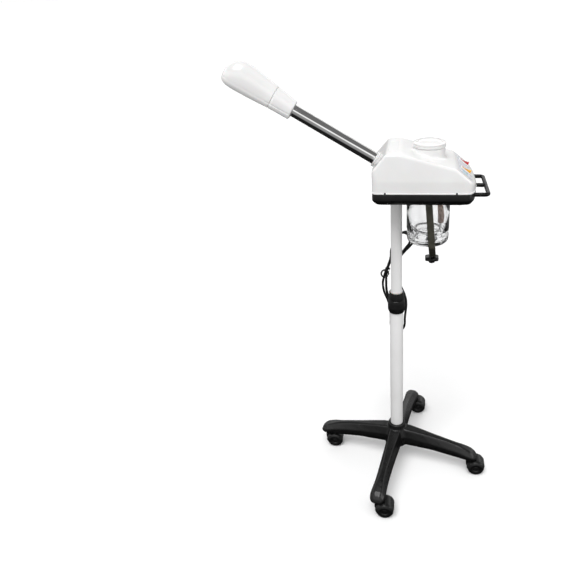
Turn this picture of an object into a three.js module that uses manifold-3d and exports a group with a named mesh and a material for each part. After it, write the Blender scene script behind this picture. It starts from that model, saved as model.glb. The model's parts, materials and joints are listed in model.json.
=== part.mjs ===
// Facial steamer on a four-castor stand. Millimetres, +Z up, floor at z = 0.
// The user stands at -Y and faces +Y; the steam boom leaves the head towards +Y.
import * as THREE from 'three';
import { mergeVertices } from 'three/addons/utils/BufferGeometryUtils.js';
import Module from 'manifold-3d';

const wasm = await Module();
wasm.setup();

// ---------------------------------------------------------------- driving dimensions
const GAP = 0.3; // running clearance between neighbouring pieces
const COLUMN_Y = -66.9; // column axis; the origin is the middle of the footprint

const ARMS = 4;
const ARM_REACH = 214; // column axis to castor stem
const BASE_TURN = -11.5; // degrees, first arm away from -Y
const HUB_TOP = 135;
const ARM_TIP_TOP = 77;
const ARM_TIP_BOTTOM = 52;
const TIP_RADIUS = 20;

const WHEEL_RADIUS = 23.5;
const WHEEL_INNER = 6.3; // inner face of a wheel, from the castor's middle plane
const WHEEL_OUTER = 21;
const CASTOR_TRAIL = 19; // stem axis to wheel axle, towards -Y
const HOOD_RADIUS = 26;
const STEM_RADIUS = 4.5;
const AXLE_RADIUS = 3;

const LOWER_TUBE_RADIUS = 17.5;
const LOWER_TUBE_BORE = 16.1;
const UPPER_TUBE_RADIUS = 14;
const UPPER_TUBE_BORE = 12.6;
const LOWER_TUBE_BOTTOM = 66.3;
const LOWER_TUBE_TOP = 556;
const COLLAR_BOTTOM = 508;
const COLLAR_TOP = 566;
const UPPER_TUBE_BOTTOM = 330;
const UPPER_TUBE_TOP = 850;

const TRAY_BOTTOM = 831;
const TRAY_TOP = 858;
const HEAD_REAR = 52;
const HEAD_NOSE = -184;
const HEAD_HALF_WIDTH = 86;
const WALL = 3;
const TRAY_CHAMFER = 8; // how much smaller the tray is at its floor
const COVER_REAR = { y: 21, z: 945.5 }; // upper edge of the sloping rear face
const COVER_CREST = { y: -12, z: 946 }; // where the top starts to fall towards the user
const PANEL_TOP = { y: -135, z: 913 }; // upper edge of the sloping switch panel
const PANEL_FOOT = { y: -178.5, z: 876 };

const JAR_Y = -76; // jar, chamber and cap share this vertical axis
const JAR_RADIUS = 51.5;
const JAR_TOP = 834.5;
const JAR_BOTTOM = 713;
const BOSS_RADIUS = 36;
const BOSS_TOP = 945.8;
const CAP_RADIUS = 37;

const BOOM_START = { y: 50.4, z: 917.3 }; // boom axis where it leaves its collar
const BOOM_TILT = 31.4; // degrees above the horizontal
const BOOM_RADIUS = 14;
const BOOM_BORE = 12.5;
const BOOM_INNER_END = -61.7; // distances along the boom axis from BOOM_START
const NECK_START = 215.5;
const NOZZLE_START = 266.3;
const MOUTH_AT = 352;
const MOUTH_RADIUS = 15;
const FLUE_RADIUS = 12;

const SWITCH_X = 33;
const SWITCH_FROM_TOP = 27; // down the panel's slope from its upper edge
const ROCKER_TILT = 8; // degrees either way; switched off, the lower end stands proud

const HANDLE_Z = 852.8;
const HANDLE_Y = -207;
const HANDLE_HALF_WIDTH = 68;
const HANDLE_RADIUS = 4.7;

const BRACKET_X = 58;
const BRACKET_LEAN = 0.085; // how far the strap runs forwards for each mm it drops
const CLAMP_Y = -88;
const CLAMP_SCREW_RADIUS = 4;
const CLAMP_FOOT = 706; // top of the screw, inside the pressure pad
const KNOB_LOBES = 6;

const CORD_RADIUS = 3;
const GLAND = { x: 38, y: 4 };
const PLUG = { x: 60, y: 3 };
const PLUG_TOP = 399.7;
// The lead drops from its gland, hangs as a loose hank of tall turns and ends in a plug.
const HANK_X0 = 40.5;
const HANK_X1 = 63.5;
const LEAD_ROUTE = [
  [38, 4, 792], [38, 4, 783], [38, 4, 774], [38.2, 4, 764], [38.8, 4, 753], [39.8, 3.8, 741],
  [41.1, 3.5, 728], [42.5, 3.3, 714], [43.5, 3.1, 701], [43.9, 3, 691], [44, 3, 682],
];
const TAIL_ROUTE = [
  [60, 3, 412], [60, 3, 409], [60, 3, 406], [60, 3, 403], [60, 3, 400],
];
// Outer shape of the hank in (y, z): it leans back over the jar's side, swings behind the column and
// hangs open below the collar.
const HANK_OUTLINE = [
  [-2, 412.3], [6, 412.3], [16, 418], [23, 432], [24, 460], [27.5, 496], [35, 530], [40, 560],
  [37, 588], [28, 617], [17, 646], [7.5, 668], [7.5, 681.7], [-1, 681.7], [-6, 692], [-18, 708],
  [-33, 713], [-42, 709.5], [-50, 702.5], [-55.5, 690], [-52, 677], [-42, 670], [-26, 660],
  [-13, 648], [-2.5, 627], [0.5, 603], [-5, 579], [-15, 556], [-25, 527], [-28.5, 500],
  [-27, 473], [-23, 446], [-22, 430], [-14, 417],
];

// ---------------------------------------------------------------- colours
const WHITE = { color: 0xf1f1ef, roughness: 0.3, metalness: 0 };
const BLACK = { color: 0x17171a, roughness: 0.35, metalness: 0 };
const RUBBER = { color: 0x1c1c1c, roughness: 0.8, metalness: 0 };
const STEEL = { color: 0xb9bbbd, roughness: 0.3, metalness: 1 };
const CHROME = { color: 0xd8d8d8, roughness: 0.12, metalness: 1 };
const STRAP = { color: 0x4a4a40, roughness: 0.5, metalness: 0.3 };
const GLASS = { color: 0xdfe8e8, roughness: 0.05, metalness: 0, transparent: true, opacity: 0.35 };
const NYLON = { color: 0xe9e9e4, roughness: 0.55, metalness: 0 };
const PANEL = { color: 0xaeb6c4, roughness: 0.45, metalness: 0 };
const AMBER = { color: 0xe8960f, roughness: 0.3, metalness: 0 };
const RED = { color: 0xd01818, roughness: 0.3, metalness: 0 };
const SILICONE = { color: 0xc9c4bb, roughness: 0.7, metalness: 0 };
const BROWN = { color: 0x7d6a5c, roughness: 0.5, metalness: 0.2 };

// ---------------------------------------------------------------- shape helpers
const radians = THREE.MathUtils.degToRad;
const machine = new THREE.Group();
machine.position.set(0, COLUMN_Y, 0);

function part(name, geometry, finish, group = machine) {
  const mesh = new THREE.Mesh(geometry, new THREE.MeshStandardMaterial(finish));
  mesh.name = name;
  group.add(mesh);
  return mesh;
}

function toSolid(geometry) {
  const bare = geometry.clone();
  bare.deleteAttribute('normal');
  bare.deleteAttribute('uv');
  const merged = mergeVertices(bare, 1e-4);
  const vertProperties = new Float32Array(merged.attributes.position.array);
  const triVerts = new Uint32Array(merged.index.array);
  return new wasm.Manifold(new wasm.Mesh({ numProp: 3, vertProperties, triVerts }));
}

function toGeometry(solid) {
  const mesh = solid.getMesh();
  const geometry = new THREE.BufferGeometry();
  geometry.setAttribute('position', new THREE.BufferAttribute(new Float32Array(mesh.vertProperties), 3));
  geometry.setIndex(new THREE.BufferAttribute(new Uint32Array(mesh.triVerts), 1));
  geometry.computeVertexNormals();
  return geometry;
}

function combine(first, others, operation) {
  let result = toSolid(first);
  for (const other of others) {
    result = result[operation](toSolid(other));
  }
  return toGeometry(result);
}

const join = (first, ...others) => combine(first, others, 'add');
const cut = (first, ...others) => combine(first, others, 'subtract');
const common = (first, ...others) => combine(first, others, 'intersect');

// A solid of revolution about Z from [radius, z] points, listed anticlockwise.
function turned(profile, sides = 20) {
  const points = profile.map(([r, z]) => new THREE.Vector2(r, z));
  return new THREE.LatheGeometry(points, sides).rotateX(Math.PI / 2);
}

function rod(radius, z0, z1, sides = 20) {
  return turned([[0, z0], [radius, z0], [radius, z1], [0, z1]], sides);
}

function pipe(outer, inner, z0, z1, sides = 20) {
  return turned([[inner, z0], [outer, z0], [outer, z1], [inner, z1], [inner, z0]], sides);
}

function shapeOf(points) {
  return new THREE.Shape(points.map(([u, v]) => new THREE.Vector2(u, v)));
}

function slab(points, z0, z1) {
  return new THREE.ExtrudeGeometry(shapeOf(points), { depth: z1 - z0, bevelEnabled: false, steps: 1 })
    .translate(0, 0, z0);
}

// A prism whose outline is drawn in (y, z) and which runs along X.
function prismAlongX(points, x0, x1) {
  const turn = new THREE.Matrix4().makeBasis(
    new THREE.Vector3(0, 1, 0),
    new THREE.Vector3(0, 0, 1),
    new THREE.Vector3(1, 0, 0),
  );
  return slab(points, x0, x1).applyMatrix4(turn);
}

// A prism whose outline is drawn in (x, z) and which runs along Y.
function prismAlongY(points, y0, y1) {
  return slab(points, -y1, -y0).rotateX(Math.PI / 2);
}

function box(x0, x1, y0, y1, z0, z1) {
  return new THREE.BoxGeometry(x1 - x0, y1 - y0, z1 - z0)
    .translate((x0 + x1) / 2, (y0 + y1) / 2, (z0 + z1) / 2);
}

// A closed skin over rings of points, each ring seen anticlockwise from the far end.
function loft(rings) {
  const count = rings[0].length;
  const positions = rings.flat().flatMap((p) => [p.x, p.y, p.z]);
  const index = [];
  for (let k = 0; k + 1 < rings.length; k += 1) {
    for (let i = 0; i < count; i += 1) {
      const a = k * count + i;
      const b = k * count + ((i + 1) % count);
      index.push(a, b, b + count, a, b + count, a + count);
    }
  }
  const last = (rings.length - 1) * count;
  for (let i = 1; i + 1 < count; i += 1) {
    index.push(0, i + 1, i);
    index.push(last, last + i, last + i + 1);
  }
  const geometry = new THREE.BufferGeometry();
  geometry.setAttribute('position', new THREE.Float32BufferAttribute(positions, 3));
  geometry.setIndex(index);
  return geometry;
}

function tube(points, radius, sides, steps) {
  const section = [];
  for (let i = 0; i < sides; i += 1) {
    const angle = (2 * Math.PI * i) / sides;
    section.push([radius * Math.cos(angle), radius * Math.sin(angle)]);
  }
  const extrudePath = new THREE.CatmullRomCurve3(points.map((p) => new THREE.Vector3(...p)));
  return new THREE.ExtrudeGeometry(shapeOf(section), { steps, bevelEnabled: false, extrudePath });
}

function arcPoints(cx, cy, radius, from, to, steps) {
  const points = [];
  for (let i = 0; i <= steps; i += 1) {
    const angle = radians(from + ((to - from) * i) / steps);
    points.push([cx + radius * Math.cos(angle), cy + radius * Math.sin(angle)]);
  }
  return points;
}

function roundedRect(width, height, radius, steps = 4) {
  const x = width / 2 - radius;
  const y = height / 2 - radius;
  return [
    ...arcPoints(x, -y, radius, -90, 0, steps),
    ...arcPoints(x, y, radius, 0, 90, steps),
    ...arcPoints(-x, y, radius, 90, 180, steps),
    ...arcPoints(-x, -y, radius, 180, 270, steps),
  ];
}

// ---------------------------------------------------------------- base, tubes and lock
function armSolid() {
  const side = [
    [0, 70], [110, 62], [160, ARM_TIP_BOTTOM], [ARM_REACH + TIP_RADIUS, ARM_TIP_BOTTOM],
    [ARM_REACH + TIP_RADIUS, ARM_TIP_BOTTOM + 9], [ARM_REACH + 12, ARM_TIP_TOP - 6],
    [ARM_REACH - 4, ARM_TIP_TOP], [180, 87], [125, 102], [65, 115], [0, 124],
  ];
  const plan = [
    [0, -22], [45, -20], [185, -15.5],
    ...arcPoints(ARM_REACH, 0, TIP_RADIUS, -105, 105, 8),
    [185, 15.5], [45, 20], [0, 22],
  ];
  return common(prismAlongY(side, -30, 30), slab(plan, 40, 130));
}

function baseStar() {
  const hub = turned([[0, 62], [36, 66], [34, 100], [25, 120], [23.5, HUB_TOP], [0, HUB_TOP]]);
  const arms = [];
  const holes = [rod(LOWER_TUBE_RADIUS + GAP, LOWER_TUBE_BOTTOM - GAP, HUB_TOP + 1)];
  for (let k = 0; k < ARMS; k += 1) {
    const angle = radians(BASE_TURN - 90 + (360 / ARMS) * k);
    arms.push(armSolid().rotateZ(angle));
    holes.push(rod(STEM_RADIUS + GAP, ARM_TIP_BOTTOM - 1, ARM_TIP_TOP - 5, 10)
      .translate(ARM_REACH * Math.cos(angle), ARM_REACH * Math.sin(angle), 0));
  }
  return cut(join(hub, ...arms), ...holes);
}

function column() {
  part('base_star', baseStar(), BLACK);
  part('lower_tube', pipe(LOWER_TUBE_RADIUS, LOWER_TUBE_BORE, LOWER_TUBE_BOTTOM, LOWER_TUBE_TOP), WHITE);
  part('guide_bush', turned([
    [UPPER_TUBE_RADIUS + GAP, LOWER_TUBE_TOP - 26], [LOWER_TUBE_BORE - GAP, LOWER_TUBE_TOP - 26],
    [LOWER_TUBE_BORE - GAP, LOWER_TUBE_TOP + GAP], [17.4, LOWER_TUBE_TOP + GAP],
    [17.4, LOWER_TUBE_TOP + 4], [16, LOWER_TUBE_TOP + 4], [16, COLLAR_TOP + 3],
    [UPPER_TUBE_RADIUS + GAP, COLLAR_TOP + 3], [UPPER_TUBE_RADIUS + GAP, LOWER_TUBE_TOP - 26],
  ]), NYLON);
  part('lock_collar', turned([
    [LOWER_TUBE_RADIUS + GAP, COLLAR_BOTTOM], [19.8, COLLAR_BOTTOM], [22, COLLAR_BOTTOM + 6],
    [22.6, COLLAR_BOTTOM + 15], [21.6, COLLAR_BOTTOM + 30], [18.8, COLLAR_TOP],
    [16.3, COLLAR_TOP], [16.3, LOWER_TUBE_TOP + 4.4], [LOWER_TUBE_RADIUS + GAP, LOWER_TUBE_TOP + 4.4],
    [LOWER_TUBE_RADIUS + GAP, COLLAR_BOTTOM],
  ]), BLACK);
  part('upper_tube', pipe(UPPER_TUBE_RADIUS, UPPER_TUBE_BORE, UPPER_TUBE_BOTTOM, UPPER_TUBE_TOP), WHITE);
  part('tube_glide', turned([
    [0, UPPER_TUBE_BOTTOM - 8], [LOWER_TUBE_BORE - GAP, UPPER_TUBE_BOTTOM - 8],
    [LOWER_TUBE_BORE - GAP, UPPER_TUBE_BOTTOM + 22], [UPPER_TUBE_RADIUS + GAP, UPPER_TUBE_BOTTOM + 22],
    [UPPER_TUBE_RADIUS + GAP, UPPER_TUBE_BOTTOM - GAP], [0, UPPER_TUBE_BOTTOM - GAP],
  ]), NYLON);
}

// ---------------------------------------------------------------- castors
// Each castor is drawn with its stem on the Z axis and its wheels trailing towards -Y.
function castorHood() {
  const centre = [-CASTOR_TRAIL, WHEEL_RADIUS];
  const web = prismAlongX([
    ...arcPoints(...centre, WHEEL_RADIUS - 2, 105, 330, 7),
    [9, 27], [9, 46], [-CASTOR_TRAIL + 3, 46],
  ], -WHEEL_INNER + GAP, WHEEL_INNER - GAP);
  const shell = prismAlongX([
    ...arcPoints(...centre, HOOD_RADIUS, 28, 165, 7),
    ...arcPoints(...centre, WHEEL_RADIUS + 0.8, 165, 28, 7),
  ], -WHEEL_OUTER + 1, WHEEL_OUTER - 1);
  const boss = rod(9, WHEEL_RADIUS * 2 - 5, ARM_TIP_BOTTOM - 2, 12);
  const wheelRoom = [-1, 1].map((side) => rod(WHEEL_RADIUS + 0.8, 0, WHEEL_OUTER, 20)
    .rotateY(Math.PI / 2)
    .translate(side > 0 ? WHEEL_INNER - GAP : -WHEEL_INNER + GAP - WHEEL_OUTER, ...centre));
  const stemHole = rod(STEM_RADIUS + GAP, 31.7, 60, 10);
  const axleHole = rod(AXLE_RADIUS + GAP, -10, 10, 8).rotateY(Math.PI / 2).translate(0, ...centre);
  return cut(join(web, shell, boss), ...wheelRoom, stemHole, axleHole);
}

function castorWheel() {
  const blindEnd = WHEEL_OUTER - 3;
  return turned([
    [0, blindEnd], [AXLE_RADIUS + GAP, blindEnd], [AXLE_RADIUS + GAP, WHEEL_INNER],
    [WHEEL_RADIUS, WHEEL_INNER], [WHEEL_RADIUS, WHEEL_INNER + 7], [WHEEL_RADIUS - 6, WHEEL_OUTER],
    [0, WHEEL_OUTER],
  ].reverse().map(([r, x]) => [r, -x]), 20).rotateY(-Math.PI / 2);
}

function castors() {
  for (let k = 0; k < ARMS; k += 1) {
    const angle = radians(BASE_TURN - 90 + (360 / ARMS) * k);
    const castor = new THREE.Group();
    castor.position.set(ARM_REACH * Math.cos(angle), ARM_REACH * Math.sin(angle), 0);
    machine.add(castor);
    const name = `castor_${k + 1}`;
    part(`${name}_stem`, rod(STEM_RADIUS, 32, ARM_TIP_TOP - 5 - GAP, 10), STEEL, castor);
    part(`${name}_hood`, castorHood(), BLACK, castor);
    const axle = rod(AXLE_RADIUS, -(WHEEL_OUTER - 3 - GAP), WHEEL_OUTER - 3 - GAP, 8)
      .rotateY(Math.PI / 2);
    part(`${name}_axle`, axle.translate(0, -CASTOR_TRAIL, WHEEL_RADIUS), STEEL, castor);
    const right = castorWheel();
    const left = castorWheel().rotateZ(Math.PI);
    part(`${name}_wheel_left`, left.translate(0, -CASTOR_TRAIL, WHEEL_RADIUS), RUBBER, castor);
    part(`${name}_wheel_right`, right.translate(0, -CASTOR_TRAIL, WHEEL_RADIUS), RUBBER, castor);
  }
}

// ---------------------------------------------------------------- head casings
// Plan outline of tray and cover: square rear, tapering sides, chamfered corners, bowed nose.
function headOutline(inset) {
  const w = HEAD_HALF_WIDTH - inset;
  const rear = HEAD_REAR - inset;
  const nose = HEAD_NOSE + inset;
  const right = [
    [0, nose], [28, nose + 1.2], [52, nose + 4.5], [72, nose + 9], [w - 3, nose + 17],
    [w, nose + 30], [w, 0], [w - 2, rear - 12], [w - 6, rear - 4], [w - 14, rear],
  ];
  const left = right.slice(1).reverse().map(([x, y]) => [-x, y]);
  return [...right, ...left];
}

function headRing(inset, z) {
  return headOutline(inset).map(([x, y]) => new THREE.Vector3(x, y, z));
}

function tray() {
  const outside = loft([
    headRing(TRAY_CHAMFER, TRAY_BOTTOM),
    headRing(0, TRAY_BOTTOM + 10),
    headRing(0, TRAY_TOP),
  ]);
  const inside = loft([
    headRing(TRAY_CHAMFER + WALL, TRAY_BOTTOM + 4),
    headRing(WALL, TRAY_BOTTOM + 12),
    headRing(WALL, TRAY_TOP + 1),
  ]);
  const handleHoles = [-HANDLE_HALF_WIDTH, 0, HANDLE_HALF_WIDTH].map((x) =>
    rod(HANDLE_RADIUS + GAP + 0.2, 0, 60, 10).rotateX(Math.PI / 2).translate(x, -140, HANDLE_Z));
  return cut(
    outside,
    inside,
    rod(JAR_RADIUS + 1, 820, 850, 28).translate(0, JAR_Y, 0),
    rod(UPPER_TUBE_RADIUS + 2 * GAP, 820, 850),
    rod(6.3, 820, 850, 10).translate(GLAND.x, GLAND.y, 0),
    ...handleHoles,
  );
}

function coverBlock(inset, floor) {
  const side = [
    [HEAD_NOSE + inset, floor], [HEAD_REAR - inset, floor], [HEAD_REAR - inset, 909 - inset / 2],
    [COVER_REAR.y - inset / 2, COVER_REAR.z - inset], [COVER_CREST.y, COVER_CREST.z - inset],
    [PANEL_TOP.y + inset / 4, PANEL_TOP.z - inset],
    [PANEL_FOOT.y + inset * 0.6, PANEL_FOOT.z - inset * 0.9], [HEAD_NOSE + inset, 868 - inset / 2],
  ];
  const w = HEAD_HALF_WIDTH - inset;
  const front = [
    [-w, floor], [w, floor], [w, 886], [w - 2.5, 940 - inset], [w - 6, 953],
    [6 - w, 953], [2.5 - w, 940 - inset], [-w, 886],
  ];
  return common(
    prismAlongX(side, -100, 100),
    prismAlongY(front, -200, 80),
    loft([headRing(inset, floor), headRing(inset, 960)]),
  );
}

// Geometry drawn along Z, moved onto the boom axis so that z = 0 falls on BOOM_START.
function alongBoom(geometry) {
  return geometry.rotateX(-radians(90 - BOOM_TILT)).translate(0, BOOM_START.y, BOOM_START.z);
}

// Geometry drawn on the XY plane, moved onto the switch panel so that +Y runs up the slope.
function onPanel(geometry, x, fromTop) {
  const slope = Math.atan2(PANEL_TOP.z - PANEL_FOOT.z, PANEL_TOP.y - PANEL_FOOT.y);
  return geometry.rotateX(slope).translate(
    x,
    PANEL_TOP.y - fromTop * Math.cos(slope),
    PANEL_TOP.z - fromTop * Math.sin(slope),
  );
}

function cover() {
  const boss = rod(BOSS_RADIUS, 900, BOSS_TOP, 28).translate(0, JAR_Y, 0);
  const bore = rod(BOSS_RADIUS - 4, 890, BOSS_TOP + 1, 28).translate(0, JAR_Y, 0);
  const switchHoles = [-SWITCH_X, SWITCH_X]
    .map((x) => onPanel(box(-6, 6, -13, 13, -12, 8), x, SWITCH_FROM_TOP));
  const boomHole = alongBoom(rod(BOOM_RADIUS + GAP, -60, 20));
  const shell = join(coverBlock(0, TRAY_TOP + GAP), boss);
  return cut(shell, coverBlock(WALL, TRAY_TOP - 1), bore, boomHole, ...switchHoles);
}

function casings() {
  part('tray', tray(), BLACK);
  part('cover', cover(), WHITE);
  part('mast_socket', turned([
    [UPPER_TUBE_RADIUS + GAP, 837.3], [19.5, 837.3], [19.5, 854], [0, 854], [0, UPPER_TUBE_TOP + GAP],
    [UPPER_TUBE_RADIUS + GAP, UPPER_TUBE_TOP + GAP], [UPPER_TUBE_RADIUS + GAP, 837.3],
  ]), STEEL);
  const cap = turned([
    [0, 958.5], [29.5, 951], [29.5, 935], [31.5, 935], [31.5, BOSS_TOP + GAP],
    [CAP_RADIUS, BOSS_TOP + GAP], [CAP_RADIUS, 955.5], [28, 956.6], [26.5, 958.4], [18, 961], [0, 962.4],
  ], 28).translate(0, JAR_Y, 0);
  part('chamber_cap', cap, WHITE);
  part('front_handle', frontHandle(), BLACK);
}

function frontHandle() {
  const r = 9;
  const w = HANDLE_HALF_WIDTH;
  const legEnd = -152;
  const bend = (side) => arcPoints(side * (w - r), HANDLE_Y + r, r, -90, side > 0 ? 0 : -180, 4)
    .map(([x, y]) => [x, y, HANDLE_Z]);
  const straight = (x, from, to) => rod(HANDLE_RADIUS, 0, to - from, 10)
    .rotateX(-Math.PI / 2).translate(x, from, HANDLE_Z);
  const bar = rod(HANDLE_RADIUS, -(w - r) - 0.5, w - r + 0.5, 10).rotateY(Math.PI / 2)
    .translate(0, HANDLE_Y, HANDLE_Z);
  return join(
    bar,
    tube(bend(1), HANDLE_RADIUS, 10, 4),
    tube(bend(-1), HANDLE_RADIUS, 10, 4),
    straight(w, HANDLE_Y + r - 0.5, legEnd),
    straight(-w, HANDLE_Y + r - 0.5, legEnd),
    straight(0, HANDLE_Y, -168),
  );
}

// ---------------------------------------------------------------- switches
function switchUnit(name, side, color) {
  const x = side * SWITCH_X;
  const frame = join(
    box(-6.9, 6.9, -14.6, 14.6, 1.4, 3.6),
    box(-5.7, 5.7, -12.7, 12.7, -11, 2),
  );
  const bezel = cut(frame, box(-4.6, 4.6, -11.8, 11.8, -8, 5));
  part(`${name}_bezel`, onPanel(bezel, x, SWITCH_FROM_TOP), WHITE);
  const rocker = prismAlongX([
    [-10.8, 1], [-7, -1.5], [7, -1.5], [10.8, 1], [10.8, 6.6], [5, 5], [0, 4.4], [-5, 5], [-10.8, 6.6],
  ], -4.2, 4.2).rotateX(-radians(ROCKER_TILT));
  part(`${name}_rocker`, onPanel(rocker, x, SWITCH_FROM_TOP), color);
}

function panel() {
  const plate = slab(roundedRect(127, 36, 8), GAP, 1.1);
  const holes = [-SWITCH_X, SWITCH_X].map((x) => box(x - 6, x + 6, -13, 13, -1, 3));
  part('panel_plate', onPanel(cut(plate, ...holes), 0, SWITCH_FROM_TOP), PANEL);
  switchUnit('lamp_switch', -1, AMBER);
  switchUnit('power_switch', 1, RED);
}

// ---------------------------------------------------------------- boom and nozzle
// Sections across the boom: distance along it, lowest, highest and half width. Down is +Y here, because
// alongBoom tips the Z axis over towards +Y.
function boomRing([along, low, high, halfWidth], sides = 16) {
  const ring = [];
  for (let i = 0; i < sides; i += 1) {
    const angle = (2 * Math.PI * i) / sides;
    const down = ((high - low) / 2) * Math.sin(angle) - (low + high) / 2;
    ring.push(new THREE.Vector3(halfWidth * Math.cos(angle), down, along));
  }
  return ring;
}

function boom() {
  part('boom_tube', alongBoom(pipe(BOOM_RADIUS, BOOM_BORE, BOOM_INNER_END, NECK_START + 22)), CHROME);
  const collar = alongBoom(turned([
    [BOOM_RADIUS + GAP, -24], [20.5, -24], [20, -9], [17.4, -4], [17, 0], [BOOM_RADIUS + GAP, 0],
    [BOOM_RADIUS + GAP, -24],
  ]));
  part('boom_collar', cut(collar, coverBlock(-GAP, TRAY_TOP)), WHITE);

  const neckOutside = loft([[NECK_START, -21.6, 21.6, 21.6], [240, -21.6, 25.6, 23.6], [266, -21.6, 30, 25.8]]
    .map((row) => boomRing(row)));
  const seat = rod(BOOM_RADIUS + GAP, NECK_START - 1, NECK_START + 22 + GAP);
  const passage = rod(FLUE_RADIUS, NECK_START, 270);
  part('nozzle_neck', alongBoom(cut(neckOutside, seat, passage)), WHITE);

  const headOutside = loft([
    [NOZZLE_START, -21.6, 30, 25.8], [300, -23.8, 35, 28], [338, -25, 39.6, 29.4], [355, -25.5, 39.8, 29.2],
    [367, -25, 35.5, 27.5], [377, -23, 27, 23.5], [384, -18, 17, 17], [388, -9, 5, 8],
  ].map((row) => boomRing(row)));
  const flue = rod(FLUE_RADIUS, NOZZLE_START - 1, MOUTH_AT);
  const well = new THREE.SphereGeometry(18, 12, 7).translate(0, 0, MOUTH_AT);
  const mouth = rod(MOUTH_RADIUS, 0, 40, 16).rotateX(-Math.PI / 2).translate(0, 0, MOUTH_AT);
  part('nozzle_head', alongBoom(cut(headOutside, flue, well, mouth)), WHITE);
  const bars = [-8, 0, 8].map((x) => box(x - 1.5, x + 1.5, -9.5, 9.5, -3, 3));
  const grille = cut(rod(MOUTH_RADIUS - 2 * GAP, 0, 2, 16), ...bars)
    .rotateX(-Math.PI / 2).translate(0, 16, MOUTH_AT);
  part('nozzle_grille', alongBoom(grille), WHITE);
}

// ---------------------------------------------------------------- steam generator
function generator() {
  const onAxis = (geometry) => geometry.translate(0, JAR_Y, 0);
  part('jar_flange', onAxis(pipe(55.5, 20, 837.3, 845, 28)), STEEL);
  part('jar_gasket', onAxis(pipe(51, 43, JAR_TOP + GAP, 837, 28)), SILICONE);
  const jar = turned([
    [0, JAR_BOTTOM], [44, JAR_BOTTOM], [49, JAR_BOTTOM + 3], [JAR_RADIUS, JAR_BOTTOM + 10],
    [JAR_RADIUS, JAR_TOP], [JAR_RADIUS - 3, JAR_TOP],
    [JAR_RADIUS - 3, JAR_BOTTOM + 14], [44, JAR_BOTTOM + 9], [0, JAR_BOTTOM + 8],
  ], 28);
  part('jar', onAxis(jar), GLASS);

  const ringZ = 740;
  const ringRadius = 31.5;
  const ring = arcPoints(0, 0, ringRadius, -82, 262, 16).map(([x, y]) => [x, y, ringZ]);
  const start = [4.2, -ringRadius, 756.5];
  const finish = [-4.2, -ringRadius, 756.5];
  const route = [start, [4.3, -ringRadius, 746], ...ring.slice(1, -1), [-4.3, -ringRadius, 746], finish];
  const element = tube(route, 3.2, 8, 30);
  part('heater_element', onAxis(element), STEEL);
  part('heater_sheath', onAxis(rod(7.5, 757, 837, 12).translate(0, -ringRadius, 0)), BROWN);

  const ductTool = alongBoom(rod(11, -125, -80)).translate(0, -JAR_Y, 0);
  const chamber = turned([
    [31, 845.3], [34, 845.3], [34, 895], [0, 895], [0, 892], [31, 892], [31, 845.3],
  ], 24);
  part('steam_chamber', onAxis(cut(chamber, ductTool)), STEEL);
  const duct = alongBoom(pipe(14, 11, -125, BOOM_INNER_END - GAP));
  const chamberRoom = onAxis(rod(34 + 2 * GAP, 800, 900, 24));
  const flangeRoom = onAxis(rod(57, 800, 845 + GAP, 28));
  part('steam_duct', cut(duct, chamberRoom, flangeRoom), SILICONE);
  part('lamp_holder', onAxis(rod(20, 895.3, 904)), NYLON);
  part('ozone_lamp', onAxis(turned([[0, 904.3], [9, 904.3], [9, 930], [6, 937], [0, 939]], 12)), GLASS);
  part('terminal_block', box(-66, -28, 14, 32, 837.3, 853), NYLON);
}

// ---------------------------------------------------------------- jar clamp
function clamp() {
  const x = BRACKET_X;
  const t = 4;
  const strap = prismAlongY([
    [-x - 14, TRAY_BOTTOM - GAP], [-x - 14, TRAY_BOTTOM - GAP - t], [-x - t, TRAY_BOTTOM - GAP - t],
    [-x - t, 716], [-14, 673], [14, 673], [x + t, 716], [x + t, TRAY_BOTTOM - GAP - t],
    [x + 14, TRAY_BOTTOM - GAP - t], [x + 14, TRAY_BOTTOM - GAP], [x, TRAY_BOTTOM - GAP],
    [x, 717.7], [12.5, 677.5], [-12.5, 677.5], [-x, 717.7], [-x, TRAY_BOTTOM - GAP],
  ], -8, 8);
  const lean = new THREE.Matrix4().set(
    1, 0, 0, 0,
    0, 1, BRACKET_LEAN, -BRACKET_LEAN * TRAY_BOTTOM + JAR_Y,
    0, 0, 1, 0,
    0, 0, 0, 1,
  );
  const screwRoom = (z0, z1) => rod(CLAMP_SCREW_RADIUS + 2 * GAP, z0, z1, 12);
  const screwHole = screwRoom(660, 690).translate(0, CLAMP_Y, 0);
  part('jar_bracket', cut(strap.applyMatrix4(lean), screwHole), STRAP);
  part('clamp_screw', rod(CLAMP_SCREW_RADIUS, 655, CLAMP_FOOT, 12).translate(0, CLAMP_Y, 0), STEEL);
  const lobes = [];
  for (let k = 0; k < KNOB_LOBES; k += 1) {
    const angle = radians((360 / KNOB_LOBES) * k);
    lobes.push(rod(6, 659.5, 667, 8).translate(11 * Math.cos(angle), 11 * Math.sin(angle), 0));
  }
  const knob = cut(join(rod(12.5, 658.5, 668, 12), rod(8, 652, 660, 12), ...lobes), screwRoom(654.7, 670));
  part('clamp_knob', knob.translate(0, CLAMP_Y, 0), BLACK);
  const pad = cut(rod(16, 704, JAR_BOTTOM - GAP, 16), screwRoom(700, CLAMP_FOOT + GAP));
  part('pressure_pad', pad.translate(0, CLAMP_Y, 0), RUBBER);
}

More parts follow.
